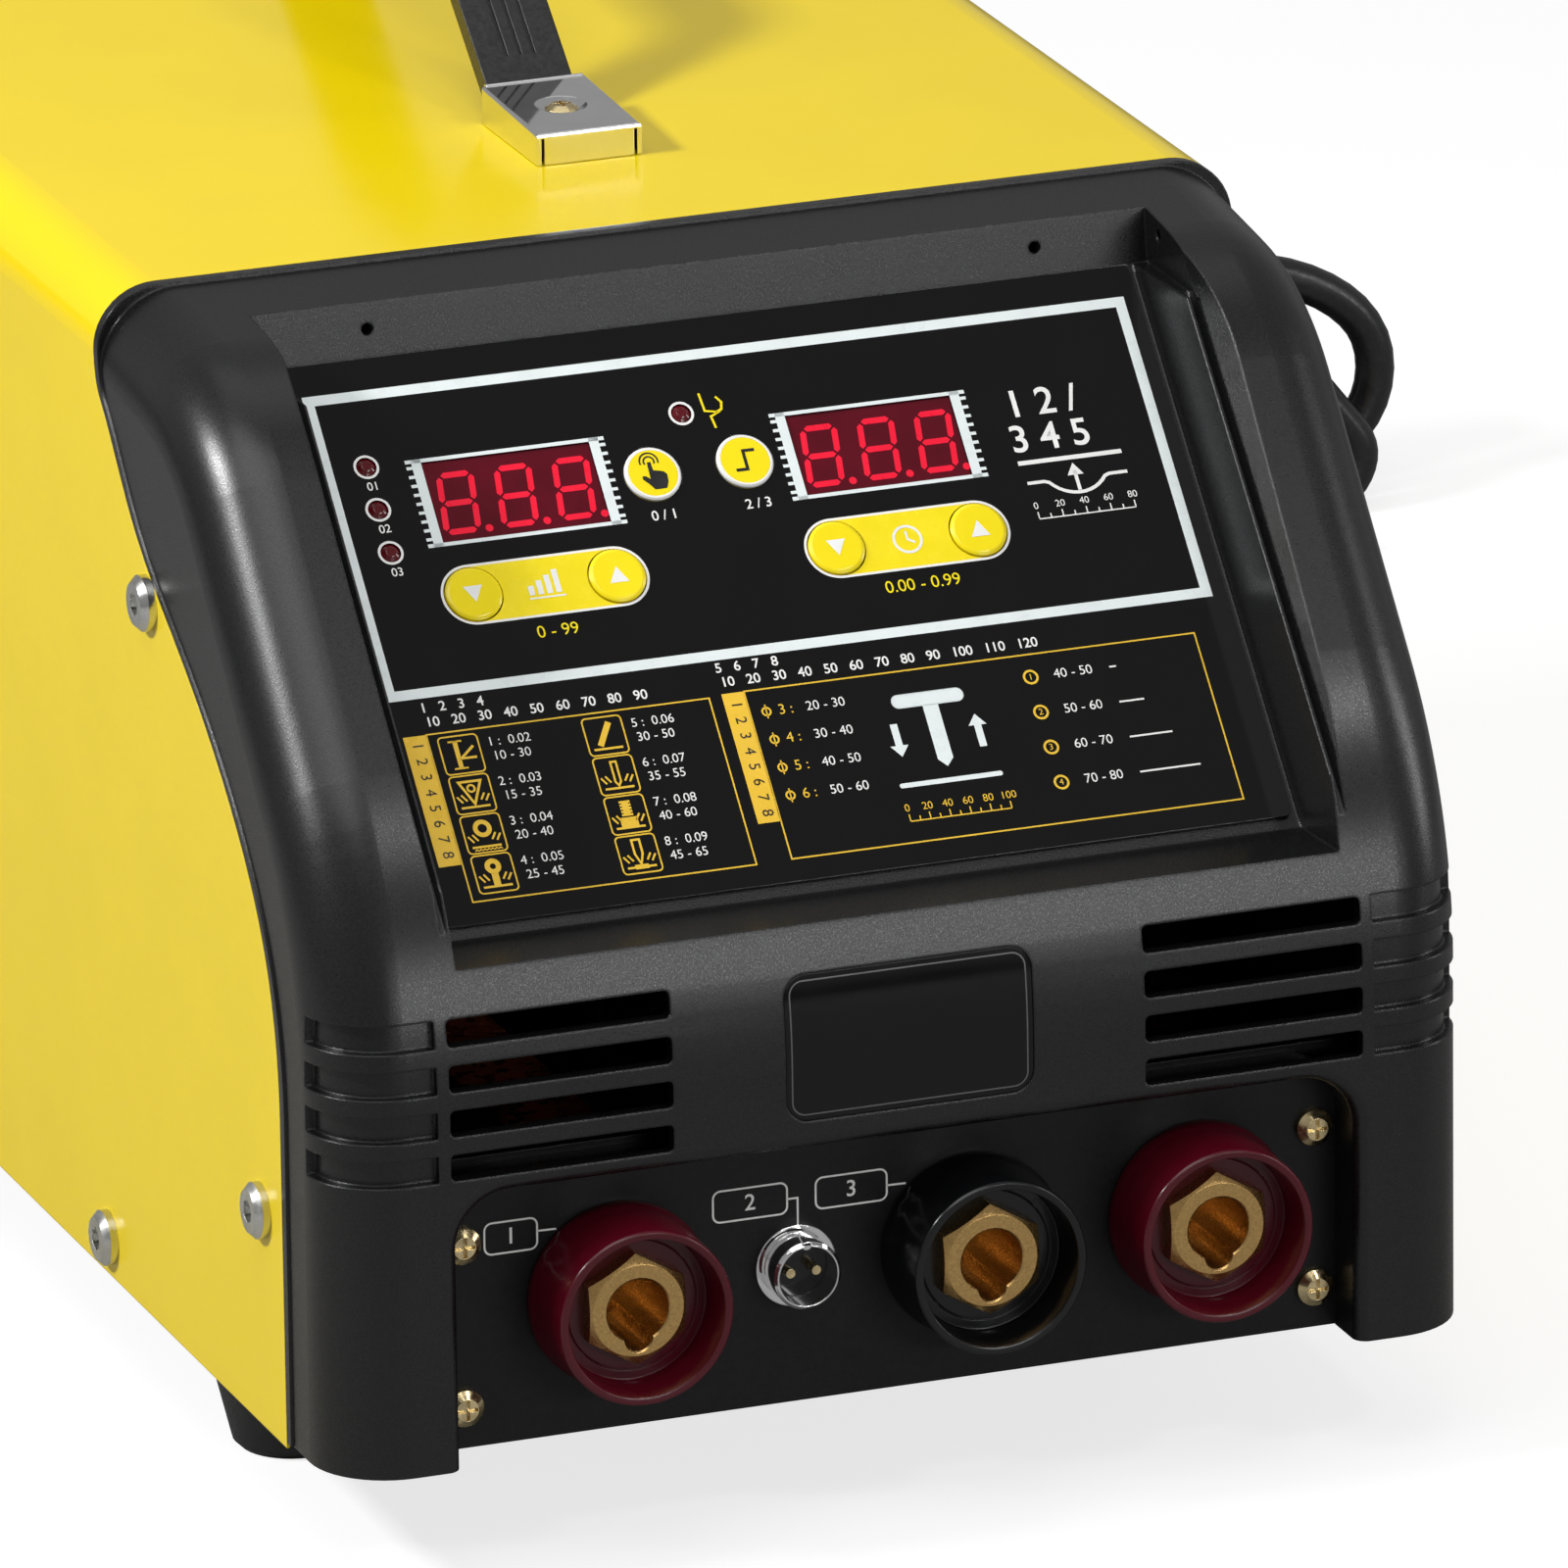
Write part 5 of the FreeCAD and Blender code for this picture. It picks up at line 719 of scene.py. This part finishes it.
HAND_PLACE = (-21.7, 26.7)
STEP_MARKS = [("line", 0.7, [(-3.4, 29.2), (-0.9, 29.2), (-0.9, 24.9), (1.6, 24.9)])]
ARROW_HALF = 2.1
ARROW_BACK = 1.7
ARROW_TIP = 2.0
LEVEL_MARKS = [("bar", step * 1.95 - 3.9, step * -1.05, step * 1.95 - 2.65, 2.2)
               for step in range(4)] + [("bar", -4.1, 2.75, 3.9, 3.15)]
LEVEL_UP = 0.3
CLOCK_MARKS = [("hoop", 0.0, 0.0, 2.7, 3.3, 56), ("line", 0.5, [(0.0, -1.9), (0.0, 0.0), (1.5, 0.9)])]

# Figures: (words, across, down, size, align, bold)

WHITE_FIGURES = [
    ("0 / 1", -21.2, 37.0, 3.2, "CENTER", 0.03), ("2 / 3", -0.4, 37.0, 3.2, "CENTER", 0.03),
    ("1 2 /", 58.6, 22.0, 8.8, "LEFT", 0.1), ("3 4 5", 57.4, 30.2, 8.8, "LEFT", 0.1),
    ("1   2   3   4", -84.8, 73.7, 3.1, "LEFT", 0.04),
    ("10   20   30   40   50   60   70   80   90", -84.4, 77.0, 3.1, "LEFT", 0.04),
    ("5   6   7   8", -20.0, 73.3, 3.1, "LEFT", 0.04),
    ("10   20   30   40   50   60   70   80   90   100   110   120", -19.6, 76.6, 3.1, "LEFT", 0.04),
]
YELLOW_FIGURES = [("0 - 99", -50.9, 60.0, 3.9), ("0.00 - 0.99", 29.8, 60.0, 3.9)]
BAND_FIGURES = ("1  2  3  4  5  6  7  8", (-87.5, -17.6), 94.6, 3.4)


def draw(form, marks, across=0.0, down=0.0, height=INK):
    """The marks of a table, moved across and down; a low_bar lies just under what it crosses."""
    for kind, *values in marks:
        if kind in ("bar", "low_bar"):
            left, top, right, bottom = values
            bar(form, across + left, down + top, across + right, down + bottom,
                height * LOW_SHARE if kind == "low_bar" else height)
        elif kind == "hoop":
            hoop(form, (across + values[0], down + values[1]), *values[2:4], height, values[4])
        else:
            points = [(across + x, down + y) for x, y in values[-1]]
            if kind == "area":
                patch(form, points, height)
            else:
                stroke(form, points, values[0], height, kind == "loop")


def make_left_table(white, amber):
    """Eight tools, each over a sheet in its own box, with two plain figures beside it."""
    bar(amber, *LEFT_BAND)
    box(amber, LEFT_TABLE, THIN)
    size, *places = ICON_FIGURES
    for number, marks in enumerate(TOOL_ICONS):
        left, top = ICON_COLUMNS[number // 4], ICON_ROWS[number % 4]
        frame_line = rounded_box(left, top, left + ICON_WIDE, top + ICON_TALL, ICON_ROUND, 4)
        stroke(amber, frame_line, THIN, closed=True)
        draw(amber, marks, left, top)
        lines = ("%d :  0.%02d" % (number + 1, number + 2),
                 "%02d - %02d" % (10 + number * 5, 30 + number * 5))
        for words, (across, down) in zip(lines, places):
            figures(white, words, left + across, top + down, size, "LEFT")


def make_right_table(white, pale, amber):
    """Two columns of figures, with a puller between arrows over a scale in the middle."""
    bar(amber, *RIGHT_BAND)
    box(amber, RIGHT_TABLE, THIN)
    for row in range(4):
        down = RIGHT_TOP + row * CLOSE_ROWS
        draw(amber, CLOSE_ROW_MARKS, down=down)
        figures(amber, "%d :" % (row + 3), CLOSE_NUMBER, down, CLOSE_NUMBER_SIZE, "LEFT")
        words = "%d - %d" % (20 + row * 10, 30 + row * 10)
        figures(white, words, CLOSE_RANGE, down, RANGE_SIZE)
    draw(pale, TOOL_MARKS)
    scale_row(amber, *TOOL_SCALE)
    left, right, growth, half = WIDE_LINE
    for row in range(4):
        down = RIGHT_TOP + row * WIDE_ROWS
        draw(amber, WIDE_ROW_MARKS, down=down)
        figures(amber, "%d" % (row + 1), WIDE_NUMBER, down, WIDE_NUMBER_SIZE)
        words = "%d - %d" % (40 + row * 10, 50 + row * 10)
        figures(white, words, WIDE_RANGE, down, RANGE_SIZE)
        bar(white, left, down - half, right + row * growth, down + half)


def make_panel_print():
    white, pale, yellow, amber, dark = (bmesh.new() for _ in range(5))
    left, top, right, bottom = FRAME
    inset = FRAME_LINE / 2
    box(pale, (left + inset, top + inset, right - inset, bottom - inset), FRAME_LINE)
    make_display_frames(pale)
    make_pills(yellow, white)
    for centre in LAMP_PLACES:
        hoop(white, centre, *LAMP_HOOP, INK, 40)
    across, down, size = LAMP_FIGURES
    for number, centre in enumerate(LAMP_PLACES[:3], 1):
        figures(white, "%02d" % number, centre[0] + across, centre[1] + down, size, bold=0.02)
    for line in WHITE_FIGURES:
        figures(white, *line)
    for line in YELLOW_FIGURES:
        figures(yellow, *line)
    draw(yellow, GUN_MARKS)
    draw(white, MODE_MARKS)
    scale_row(white, *MODE_SCALE)
    make_left_table(white, amber)
    make_right_table(white, pale, amber)
    for name, form, ink in (("white", white, white_ink), ("pale", pale, pale_ink),
                            ("yellow", yellow, yellow_ink), ("amber", amber, amber_ink)):
        new_piece("panel_print_" + name, form, "black_gloss", ink, matrix=panel_matrix)
    words, places, down, size = BAND_FIGURES
    for across in places:
        figures(dark, words, across, down, size, height=OVER_INK, turn=-90.0)
    new_piece("panel_print_band_figures", dark, "black_gloss", black_ink, matrix=panel_matrix)


KEY_TOP = 0.7
KEY_RADIUS = 6.1
KEY_MARK = KEY_TOP + INK
KEY_RING_STEPS = 56
KEY_RING = [(KEY_RADIUS - 0.75, KEY_TOP + 0.03), (KEY_RADIUS - 0.34, KEY_TOP + 0.03),
            (KEY_RADIUS + 0.02, KEY_TOP - 0.32), (KEY_RADIUS + 0.02, -0.2)]


def make_key_marks():
    """Rings, hand, step and arrows: print on the caps, riding with each cap."""
    for key, centre in ROUND_KEYS.items():
        form = bmesh.new()
        skin(form, [[form.verts.new((across, -down, high)) for across, down
                     in arc(centre, radius, 0, 360, KEY_RING_STEPS)[:-1]]
                    for radius, high in KEY_RING])
        new_piece(key + "_ring", form, "yellow_key", white_ink, node_body[key], panel_matrix)
    for key, marks, centre in (("auto_manual_key", HAND_MARKS, HAND_PLACE),
                               ("mode_key", STEP_MARKS, (0.0, 0.0))):
        form = bmesh.new()
        draw(form, marks, *centre, KEY_MARK)
        new_piece(key + "_symbol", form, "yellow_key", black_ink, node_body[key], panel_matrix)
    for pair, places in PILLS.items():
        for way, across, turn in zip(("_down_key", "_up_key"), places, (1, -1)):
            form = bmesh.new()
            back = PILL_ROWS - turn * ARROW_BACK
            patch(form, [(across - ARROW_HALF, back), (across + ARROW_HALF, back),
                         (across, PILL_ROWS + turn * ARROW_TIP)], KEY_MARK)
            key = pair + way
            new_piece(key + "_arrow", form, "yellow_key", white_ink, node_body[key], panel_matrix)
    form = bmesh.new()
    draw(form, LEVEL_MARKS, sum(PILLS["power"]) / 2, PILL_ROWS - LEVEL_UP, OVER_INK)
    draw(form, CLOCK_MARKS, sum(PILLS["time"]) / 2, PILL_ROWS, OVER_INK)
    new_piece("pill_icons", form, "yellow_key", white_ink, matrix=panel_matrix)


# Front: connector labels, nameplate, control connector and power sockets

LABELS = [
    ("1", (-89.1, -77.6), [(-77.6, 72.0), (-73.4, 71.9)]),
    ("2", (-39.1, -22.8), [(-22.8, 71.3), (-20.5, 71.3), (-20.5, 65.6)]),
    ("3", (-16.5, -0.8), [(-0.8, 71.3), (3.4, 71.2)]),
]
LABEL_TOP = 75.0
LABEL_LOW = 68.2
LABEL_LINE = 0.42
LABEL_ROUND = 1.6
LABEL_SIZE = 5.0


def make_connector_labels():
    form = bmesh.new()
    for number, (left, right), leader in LABELS:
        edge = rounded_box(left, -LABEL_TOP, right, -LABEL_LOW, LABEL_ROUND)
        stroke(form, edge, LABEL_LINE, closed=True)
        figures(form, number, (left + right) / 2, -(LABEL_TOP + LABEL_LOW) / 2, LABEL_SIZE,
                bold=0.04)
        stroke(form, [(across, -up) for across, up in leader], LABEL_LINE)
    new_piece("connector_panel_print", form, "black_paint", white_ink, matrix=front_matrix)


PLATE_INSET = 1.1
PLATE_LINE = 0.32
PLATE_ROUND = 4.2
PLATE_STEPS = 16


def evenly(outline, steps):
    """The outline with its long sides cut into short ones, so that it follows a curved face."""
    points = []
    for here, after in zip(outline, outline[1:] + outline[:1]):
        parts = steps if math.dist(here, after) > PLATE_ROUND else 1
        points += [(here[0] + (after[0] - here[0]) * part / parts,
                    here[1] + (after[1] - here[1]) * part / parts) for part in range(parts)]
    return points


def make_plate_outline():
    """A thin grey line just inside the nameplate's edge, laid on its curved face."""
    plate = frame["nodes"]["nameplate"]
    corners = [Vector(corner) / MM for corner in plate.bound_box]
    left, right = (pick(c.x for c in corners) for pick in (min, max))
    low, high = (pick(c.z for c in corners) for pick in (min, max))
    start = min(c.y for c in corners) - PLATE_ROUND
    form = bmesh.new()
    loops = []
    for inset in (PLATE_INSET, PLATE_INSET + PLATE_LINE):
        edge = rounded_box(left + inset, -high + inset, right - inset, -low - inset,
                           PLATE_ROUND - inset, 8)
        loop = []
        for across, down in evenly(edge, PLATE_STEPS):
            found, spot, _, _ = plate.ray_cast(Vector((across, start, -down)) * MM, (0, 1, 0))
            spot = spot if found else Vector((across, start + PLATE_ROUND, -down)) * MM
            loop.append(form.verts.new(spot - Vector((0, INK, 0)) * MM))
        loops.append(loop)
    skin(form, loops)
    new_piece("nameplate_outline", form, "black_gloss", grey_ink, matrix=Matrix.Identity(4))


LINK_CENTRE = (-21.31, 56.9)
THREAD_ROOT = 7.03
THREAD_CREST = 7.3
THREAD_PITCH = 0.75
THREAD_START = 3.4
THREAD_TURNS = 6
THREAD_SIDES = 72
LINK_KEY_HALF = 1.1
LINK_KEY_RISE = 6.45
LINK_KEY_DEEP = 1.0
LINK_KEY_ENDS = (7.4, 2.0)
LINK_KEY_STEPS = 12


def make_connector_thread():
    """Fine thread ridges round the control connector and the key inside its mouth."""
    ridge = bmesh.new()
    skin(ridge, [ring(ridge, LINK_CENTRE, radius, THREAD_START + forwards, THREAD_SIDES)
                 for radius, forwards in ((THREAD_ROOT, 0.0), (THREAD_CREST, THREAD_PITCH / 2),
                                          (THREAD_ROOT, THREAD_PITCH))])
    repeat("control_connector_thread", ridge, ROW_TREE, "chrome", materials["chrome"], datum_matrix,
           Count=THREAD_TURNS, Step=(0.0, -THREAD_PITCH, 0.0))
    form = bmesh.new()
    rows = []
    for step in range(LINK_KEY_STEPS + 1):
        angle = math.pi * step / LINK_KEY_STEPS
        across = LINK_CENTRE[0] + LINK_KEY_HALF * math.cos(angle)
        up = LINK_CENTRE[1] + LINK_KEY_RISE - LINK_KEY_DEEP * math.sin(angle)
        rows.append([form.verts.new((across, -forwards, up)) for forwards in LINK_KEY_ENDS])
    for (a, b), (c, d) in zip(rows, rows[1:]):
        form.faces.new([a, b, d, c])
    form.faces.new([row[0] for row in rows])
    bmesh.ops.recalc_face_normals(form, faces=form.faces)
    new_piece("control_connector_key", form, "chrome", None)


SOCKETS = {"left": (-60.3, "dark_red_plastic"), "middle": (17.6, "black_socket"),
           "right": (68.0, "dark_red_plastic")}
SOCKET_UP = 56.4
CUP_SIDES = 96
CUP_FLOOR = 8.6
CUP_MARK = 1.0
CUP_MARK_LINE = 0.25
CUP_MARK_RING = 15.1
CUP_MARK_TURN = 40
CUP_PROFILE = [(9.0, 0.3), (19.8, 0.3), (19.8, 2.2), (19.5, 3.2), (19.0, 4.4), (19.0, 17.2),
               (18.85, 17.7), (18.5, 18.0), (17.6, 18.0), (17.2, 17.85), (17.0, 17.4),
               (16.7, CUP_FLOOR + 0.8), (16.2, CUP_FLOOR), (14.35, CUP_FLOOR),
               (14.15, CUP_FLOOR - 0.35), (13.95, CUP_FLOOR), (9.0, CUP_FLOOR)]


def make_socket_cups():
    """Round cups with a thin rim and a deep floor; the brass hexagon stands up out of it."""
    for side, (across, slot) in SOCKETS.items():
        form = bmesh.new()
        skin(form, [ring(form, (across, SOCKET_UP), radius, forwards, CUP_SIDES)
                    for radius, forwards in CUP_PROFILE], closed=True)
        cup = new_piece(side + "_socket_cup", form, slot, None)
        smooth(cup, 35)
        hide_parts(side + "_socket_housing")
        mark = bmesh.new()
        hoop(mark, (0, 0), CUP_MARK - CUP_MARK_LINE, CUP_MARK, CUP_FLOOR + INK, 20)
        middle = (front_matrix @ Matrix.Translation((across, SOCKET_UP, 0))
                  @ Matrix.Rotation(math.radians(CUP_MARK_TURN), 4, "Z"))
        repeat(side + "_socket_cup_marks", mark, RING_TREE, slot, materials[slot], middle,
               Count=4, Radius=CUP_MARK_RING)


INSERT_FLATS = 21.0
INSERT_FACE = 12.6
INSERT_TURNED = 9.9
INSERT_SLOPE = math.radians(30)
INSERT_BORE = 6.75
INSERT_EDGE = 0.35
BORE_END = -13.4
SLOT_RADIUS = 3.0
SLOT_DROP = 5.9
HEXAGON_END = -10.5
STUD_RADIUS = 8.0
STUD_END = -34.0
INSERT_SIDES = 144


def bore_reach(angle):
    """The bore's radius at an angle from the right: round, with a round keyway below it."""
    off = angle + math.pi / 2
    inside = SLOT_RADIUS ** 2 - (SLOT_DROP * math.sin(off)) ** 2
    if inside < 0 or math.cos(off) < 0:
        return INSERT_BORE
    return max(INSERT_BORE, SLOT_DROP * math.cos(off) + math.sqrt(inside))


def hexagon_reach(angle):
    """The six-sided outline's radius at an angle, with a corner at the top."""
    turn = math.pi / 3
    return INSERT_FLATS / 2 / math.cos((angle + turn / 2) % turn - turn / 2)


def insert_profile(angle):
    """The insert's (radius, forwards) at an angle, from the bore's end round to the stud's."""
    bore, corner = bore_reach(angle), hexagon_reach(angle)
    fall = (corner - INSERT_TURNED) * math.tan(INSERT_SLOPE)
    return ((bore, BORE_END), (bore, INSERT_FACE - INSERT_EDGE), (bore + INSERT_EDGE, INSERT_FACE),
            (INSERT_TURNED, INSERT_FACE), (corner, INSERT_FACE - fall), (corner, HEXAGON_END),
            (STUD_RADIUS, HEXAGON_END), (STUD_RADIUS, STUD_END))


def make_socket_inserts():
    """Brass six-sided inserts: a turned face, chamfered corners, a keyed bore and a stud."""
    for side, (across, _) in SOCKETS.items():
        form = bmesh.new()
        rows = []
        for step in range(INSERT_SIDES):
            angle = 2 * math.pi * step / INSERT_SIDES
            rows.append([form.verts.new((across + radius * math.cos(angle), -forwards,
                                         SOCKET_UP + radius * math.sin(angle)))
                         for radius, forwards in insert_profile(angle)])
        levels = [list(level) for level in zip(*rows)]
        for end in (levels[0], levels[-1]):
            form.faces.new(end)
        skin(form, levels)
        insert = new_piece(side + "_socket_brass", form, "brass", None)
        smooth(insert, 20)
        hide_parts(side + "_socket_insert")


# Mains cord and the flat black tie round the waist of its hank

TIE_SIDES = (222.0, 232.0)
TIE_OUTSIDE = rounded_box(584.0, -21.4, 627.4, -0.15, 5.0)
TIE_INSIDE = rounded_box(585.0, -20.4, 626.4, -0.95, 4.2)


def make_hank_tie():
    form = bmesh.new()
    left, right = TIE_SIDES
    skin(form, [[form.verts.new((x, y, -z)) for y, z in loop]
                for x, loop in ((left, TIE_INSIDE), (left, TIE_OUTSIDE), (right, TIE_OUTSIDE),
                                (right, TIE_INSIDE))], closed=True)
    new_piece("hank_tie", form, "strap_plastic", None)


CORD_DIAMETER = 9.5
CORD_ORDER = 3
CORD_STEPS = 6
CORD_ROUNDNESS = 5
FLOOR_LINE = CORD_DIAMETER / 2
CORD_EXIT = (84.0, 463.0, 66.0)
CORD_ROUTE = [
    (84.0, 486.5, 66.0), (84.3, 509.0, 55.5), (84.6, 531.5, 40.5), (85.2, 553.5, 25.0),
    (87.0, 575.5, 12.5), (92.5, 595.0, 6.5), (102.5, 611.5, FLOOR_LINE),
    (116.0, 624.0, FLOOR_LINE), (134.5, 631.6, FLOOR_LINE), (156.0, 631.6, FLOOR_LINE),
]
CORD_TAIL = [(172.9, 590.0, FLOOR_LINE), (211.0, 566.0, 13.0), (243.5, 566.0, 13.0)]
HANK_FRONT = 590.0
HANK_PITCH = 10.4
HANK_RUN_ENDS = [298.0, 294.0, 311.0, 337.6]
HANK_LEFT_ENDS = [150.0, 153.0, 148.0, 150.0]
HANK_CLIMB = [(186.0, 0.0), (214.0, 0.25), (242.0, 0.75), (270.0, 1.0)]
HANK_TOP = 61.7
HANK_WAIST = 15.4
HANK_WAIST_PLACES = (256.0, 227.0, 198.0)
# Folds as (across from the run's end, up)
RIGHT_FOLD = [(18.6, FLOOR_LINE), (44.75, 19.8), (44.75, 45.2), (16.5, HANK_TOP),
              (-28.0, HANK_TOP)]
LAST_RIGHT_FOLD = [(-6.0, FLOOR_LINE), (5.9, FLOOR_LINE), (11.15, 15.4), (3.8, 24.8),
                   (-15.2, 49.2), (-50.0, 49.2)]
LEFT_FOLD = [(24.0, HANK_TOP), (-16.4, HANK_TOP), (-32.9, 33.2), (-16.4, FLOOR_LINE)]


def hank_points():
    """The hank's turns: along the floor with a step forward, up and back with a narrow waist."""
    count = len(HANK_RUN_ENDS)
    points = []
    for turn, (end, left) in enumerate(zip(HANK_RUN_ENDS, HANK_LEFT_ENDS)):
        behind = HANK_FRONT + HANK_PITCH * (count - turn)
        y = behind - HANK_PITCH
        fold = RIGHT_FOLD if turn + 1 < count else LAST_RIGHT_FOLD
        points += [(x, behind - HANK_PITCH * share, FLOOR_LINE) for x, share in HANK_CLIMB]
        points += [(end + x, y, up) for x, up in fold]
        points += [(x, y, HANK_WAIST) for x in HANK_WAIST_PLACES]
        points += [(left + x, y, up) for x, up in LEFT_FOLD]
    return points


def make_cord():
    points = [place(*p) for p in [CORD_EXIT] + CORD_ROUTE + hank_points() + CORD_TAIL]
    curve = bpy.data.curves.new("mains_cord_line", "CURVE")
    curve.dimensions = "3D"
    spline = curve.splines.new("NURBS")
    spline.points.add(len(points) - 1)
    for knot, point in zip(spline.points, points):
        knot.co = (*point, 1.0)
    spline.order_u = CORD_ORDER
    spline.use_endpoint_u = True
    spline.resolution_u = CORD_STEPS
    curve.bevel_depth = CORD_DIAMETER / 2 * MM
    curve.bevel_resolution = CORD_ROUNDNESS
    curve.use_fill_caps = True
    cord = link(bpy.data.objects.new("mains_cord_jacket", curve))
    dress(cord, "cord_jacket")
    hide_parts("mains_cord", "mains_cord_hank")
    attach(cord, CASE)


# Studio

AIR_SOFT = 0.2
AIR_GLOSS = 0.32
FLOOR_GLOW = 0.76
FLOOR_HALF = 9.0
FLOOR_GREY = colour(0.3, 0.3, 0.3)
WHITE = colour(1, 1, 1)
# Soft boxes: name, place, aim, size and power
LAMPS = [
    ("overhead_box", (150, 650, 1850), (0, 200, 150), (1300, 800), 2.2),
    ("key_box", (-520, -560, 1950), (-60, 60, 150), (1500, 1100), 14.0),
    ("left_box", (-1330, 190, 1180), (-100, 40, 150), (460, 200), 24.0),
    ("front_box", (600, -1750, 430), (0, 0, 110), (820, 200), 6.0),
    ("rim_box", (760, -1230, 1640), (60, 30, 120), (240, 240), 6.0),
    ("right_box", (1500, -300, 600), (60, 100, 120), (260, 900), 5.0),
]


def make_floor():
    """A pale floor; camera rays see it white, with the machine's soft shadow."""
    mesh = bpy.data.meshes.new("studio_floor")
    corners = [(FLOOR_HALF * x, FLOOR_HALF * y, 0) for x, y in ((-1, -1), (1, -1), (1, 1), (-1, 1))]
    mesh.from_pydata(corners, [], [(0, 1, 2, 3)])
    floor = link(bpy.data.objects.new("studio_floor", mesh))
    material, shader = new_material("pale_studio_floor")
    set_shader(shader, Base_Color=FLOOR_GREY, Roughness=0.9)
    nodes = material.node_tree.nodes
    links = material.node_tree.links
    path = nodes.new("ShaderNodeLightPath")
    glow = nodes.new("ShaderNodeMath")
    glow.operation = "MULTIPLY"
    glow.inputs[1].default_value = FLOOR_GLOW
    links.new(path.outputs["Is Camera Ray"], glow.inputs[0])
    shader.inputs["Emission Color"].default_value = WHITE
    links.new(glow.outputs["Value"], shader.inputs["Emission Strength"])
    mesh.materials.append(material)


def make_world():
    """White where the camera and glass look through, a paler grey in gloss, dim for soft light."""
    world = bpy.data.worlds.new("studio_air")
    world.use_nodes = True
    nodes = world.node_tree.nodes
    links = world.node_tree.links
    background = nodes["Background"]
    path = nodes.new("ShaderNodeLightPath")
    level = None
    for ray, share in (("Is Camera Ray", 1 - AIR_SOFT), ("Is Transmission Ray", 1 - AIR_SOFT),
                       ("Is Glossy Ray", AIR_GLOSS - AIR_SOFT)):
        part = nodes.new("ShaderNodeMath")
        part.operation = "MULTIPLY_ADD"
        part.inputs[1].default_value = share
        links.new(path.outputs[ray], part.inputs[0])
        if level:
            links.new(level, part.inputs[2])
        else:
            part.inputs[2].default_value = AIR_SOFT
        level = part.outputs["Value"]
    links.new(level, background.inputs["Strength"])
    background.inputs["Color"].default_value = WHITE
    bpy.context.scene.world = world


def make_lamp(name, where, aim, size, power):
    """A rectangular soft box at a place, aimed at another, both in the machine's datum."""
    data = bpy.data.lights.new(name, "AREA")
    data.shape = "RECTANGLE"
    data.size = size[0] * MM
    data.size_y = size[1] * MM
    data.energy = power
    lamp = link(bpy.data.objects.new(name, data))
    lamp.location = place(*where)
    aim_line = place(*aim) - place(*where)
    lamp.rotation_euler = aim_line.to_track_quat("-Z", "Y").to_euler()


def make_studio():
    make_floor()
    make_world()
    for lamp in LAMPS:
        make_lamp(*lamp)


CAMERA_TURN = -20.5
CAMERA_RISE = 18.587
CAMERA_ROLL = -0.718
CAMERA_AWAY = 3880.3
CAMERA_TARGET = (-22.313, 0.0, 161.468)
CAMERA_LENS = 435.65
CAMERA_SENSOR = 36.0
CAMERA_FAR = 40.0


def make_camera():
    turn = math.radians(CAMERA_TURN)
    rise = math.radians(CAMERA_RISE)
    level = math.cos(rise)
    back = Vector((math.sin(turn) * level, -math.cos(turn) * level, math.sin(rise)))
    right = Vector((math.cos(turn), math.sin(turn), 0))
    up = back.cross(right)
    axes = Matrix((right, up, back)).transposed()
    roll = Matrix.Rotation(math.radians(CAMERA_ROLL), 3, "Z")
    data = bpy.data.cameras.new("photo_view")
    data.lens = CAMERA_LENS
    data.sensor_width = CAMERA_SENSOR
    data.clip_end = CAMERA_FAR
    camera = link(bpy.data.objects.new("photo_view", data))
    where = place(*CAMERA_TARGET) + back * CAMERA_AWAY * MM
    camera.matrix_world = Matrix.Translation(where) @ (axes @ roll).to_4x4()
    bpy.context.scene.camera = camera


make_socket_cups()
make_socket_inserts()
make_panel_print()
make_digits()
make_key_marks()
make_connector_labels()
make_plate_outline()
make_connector_thread()
make_hank_tie()
make_cord()
make_studio()
make_camera()
bpy.context.scene.view_settings.view_transform = "Standard"

bpy.context.view_layer.update()
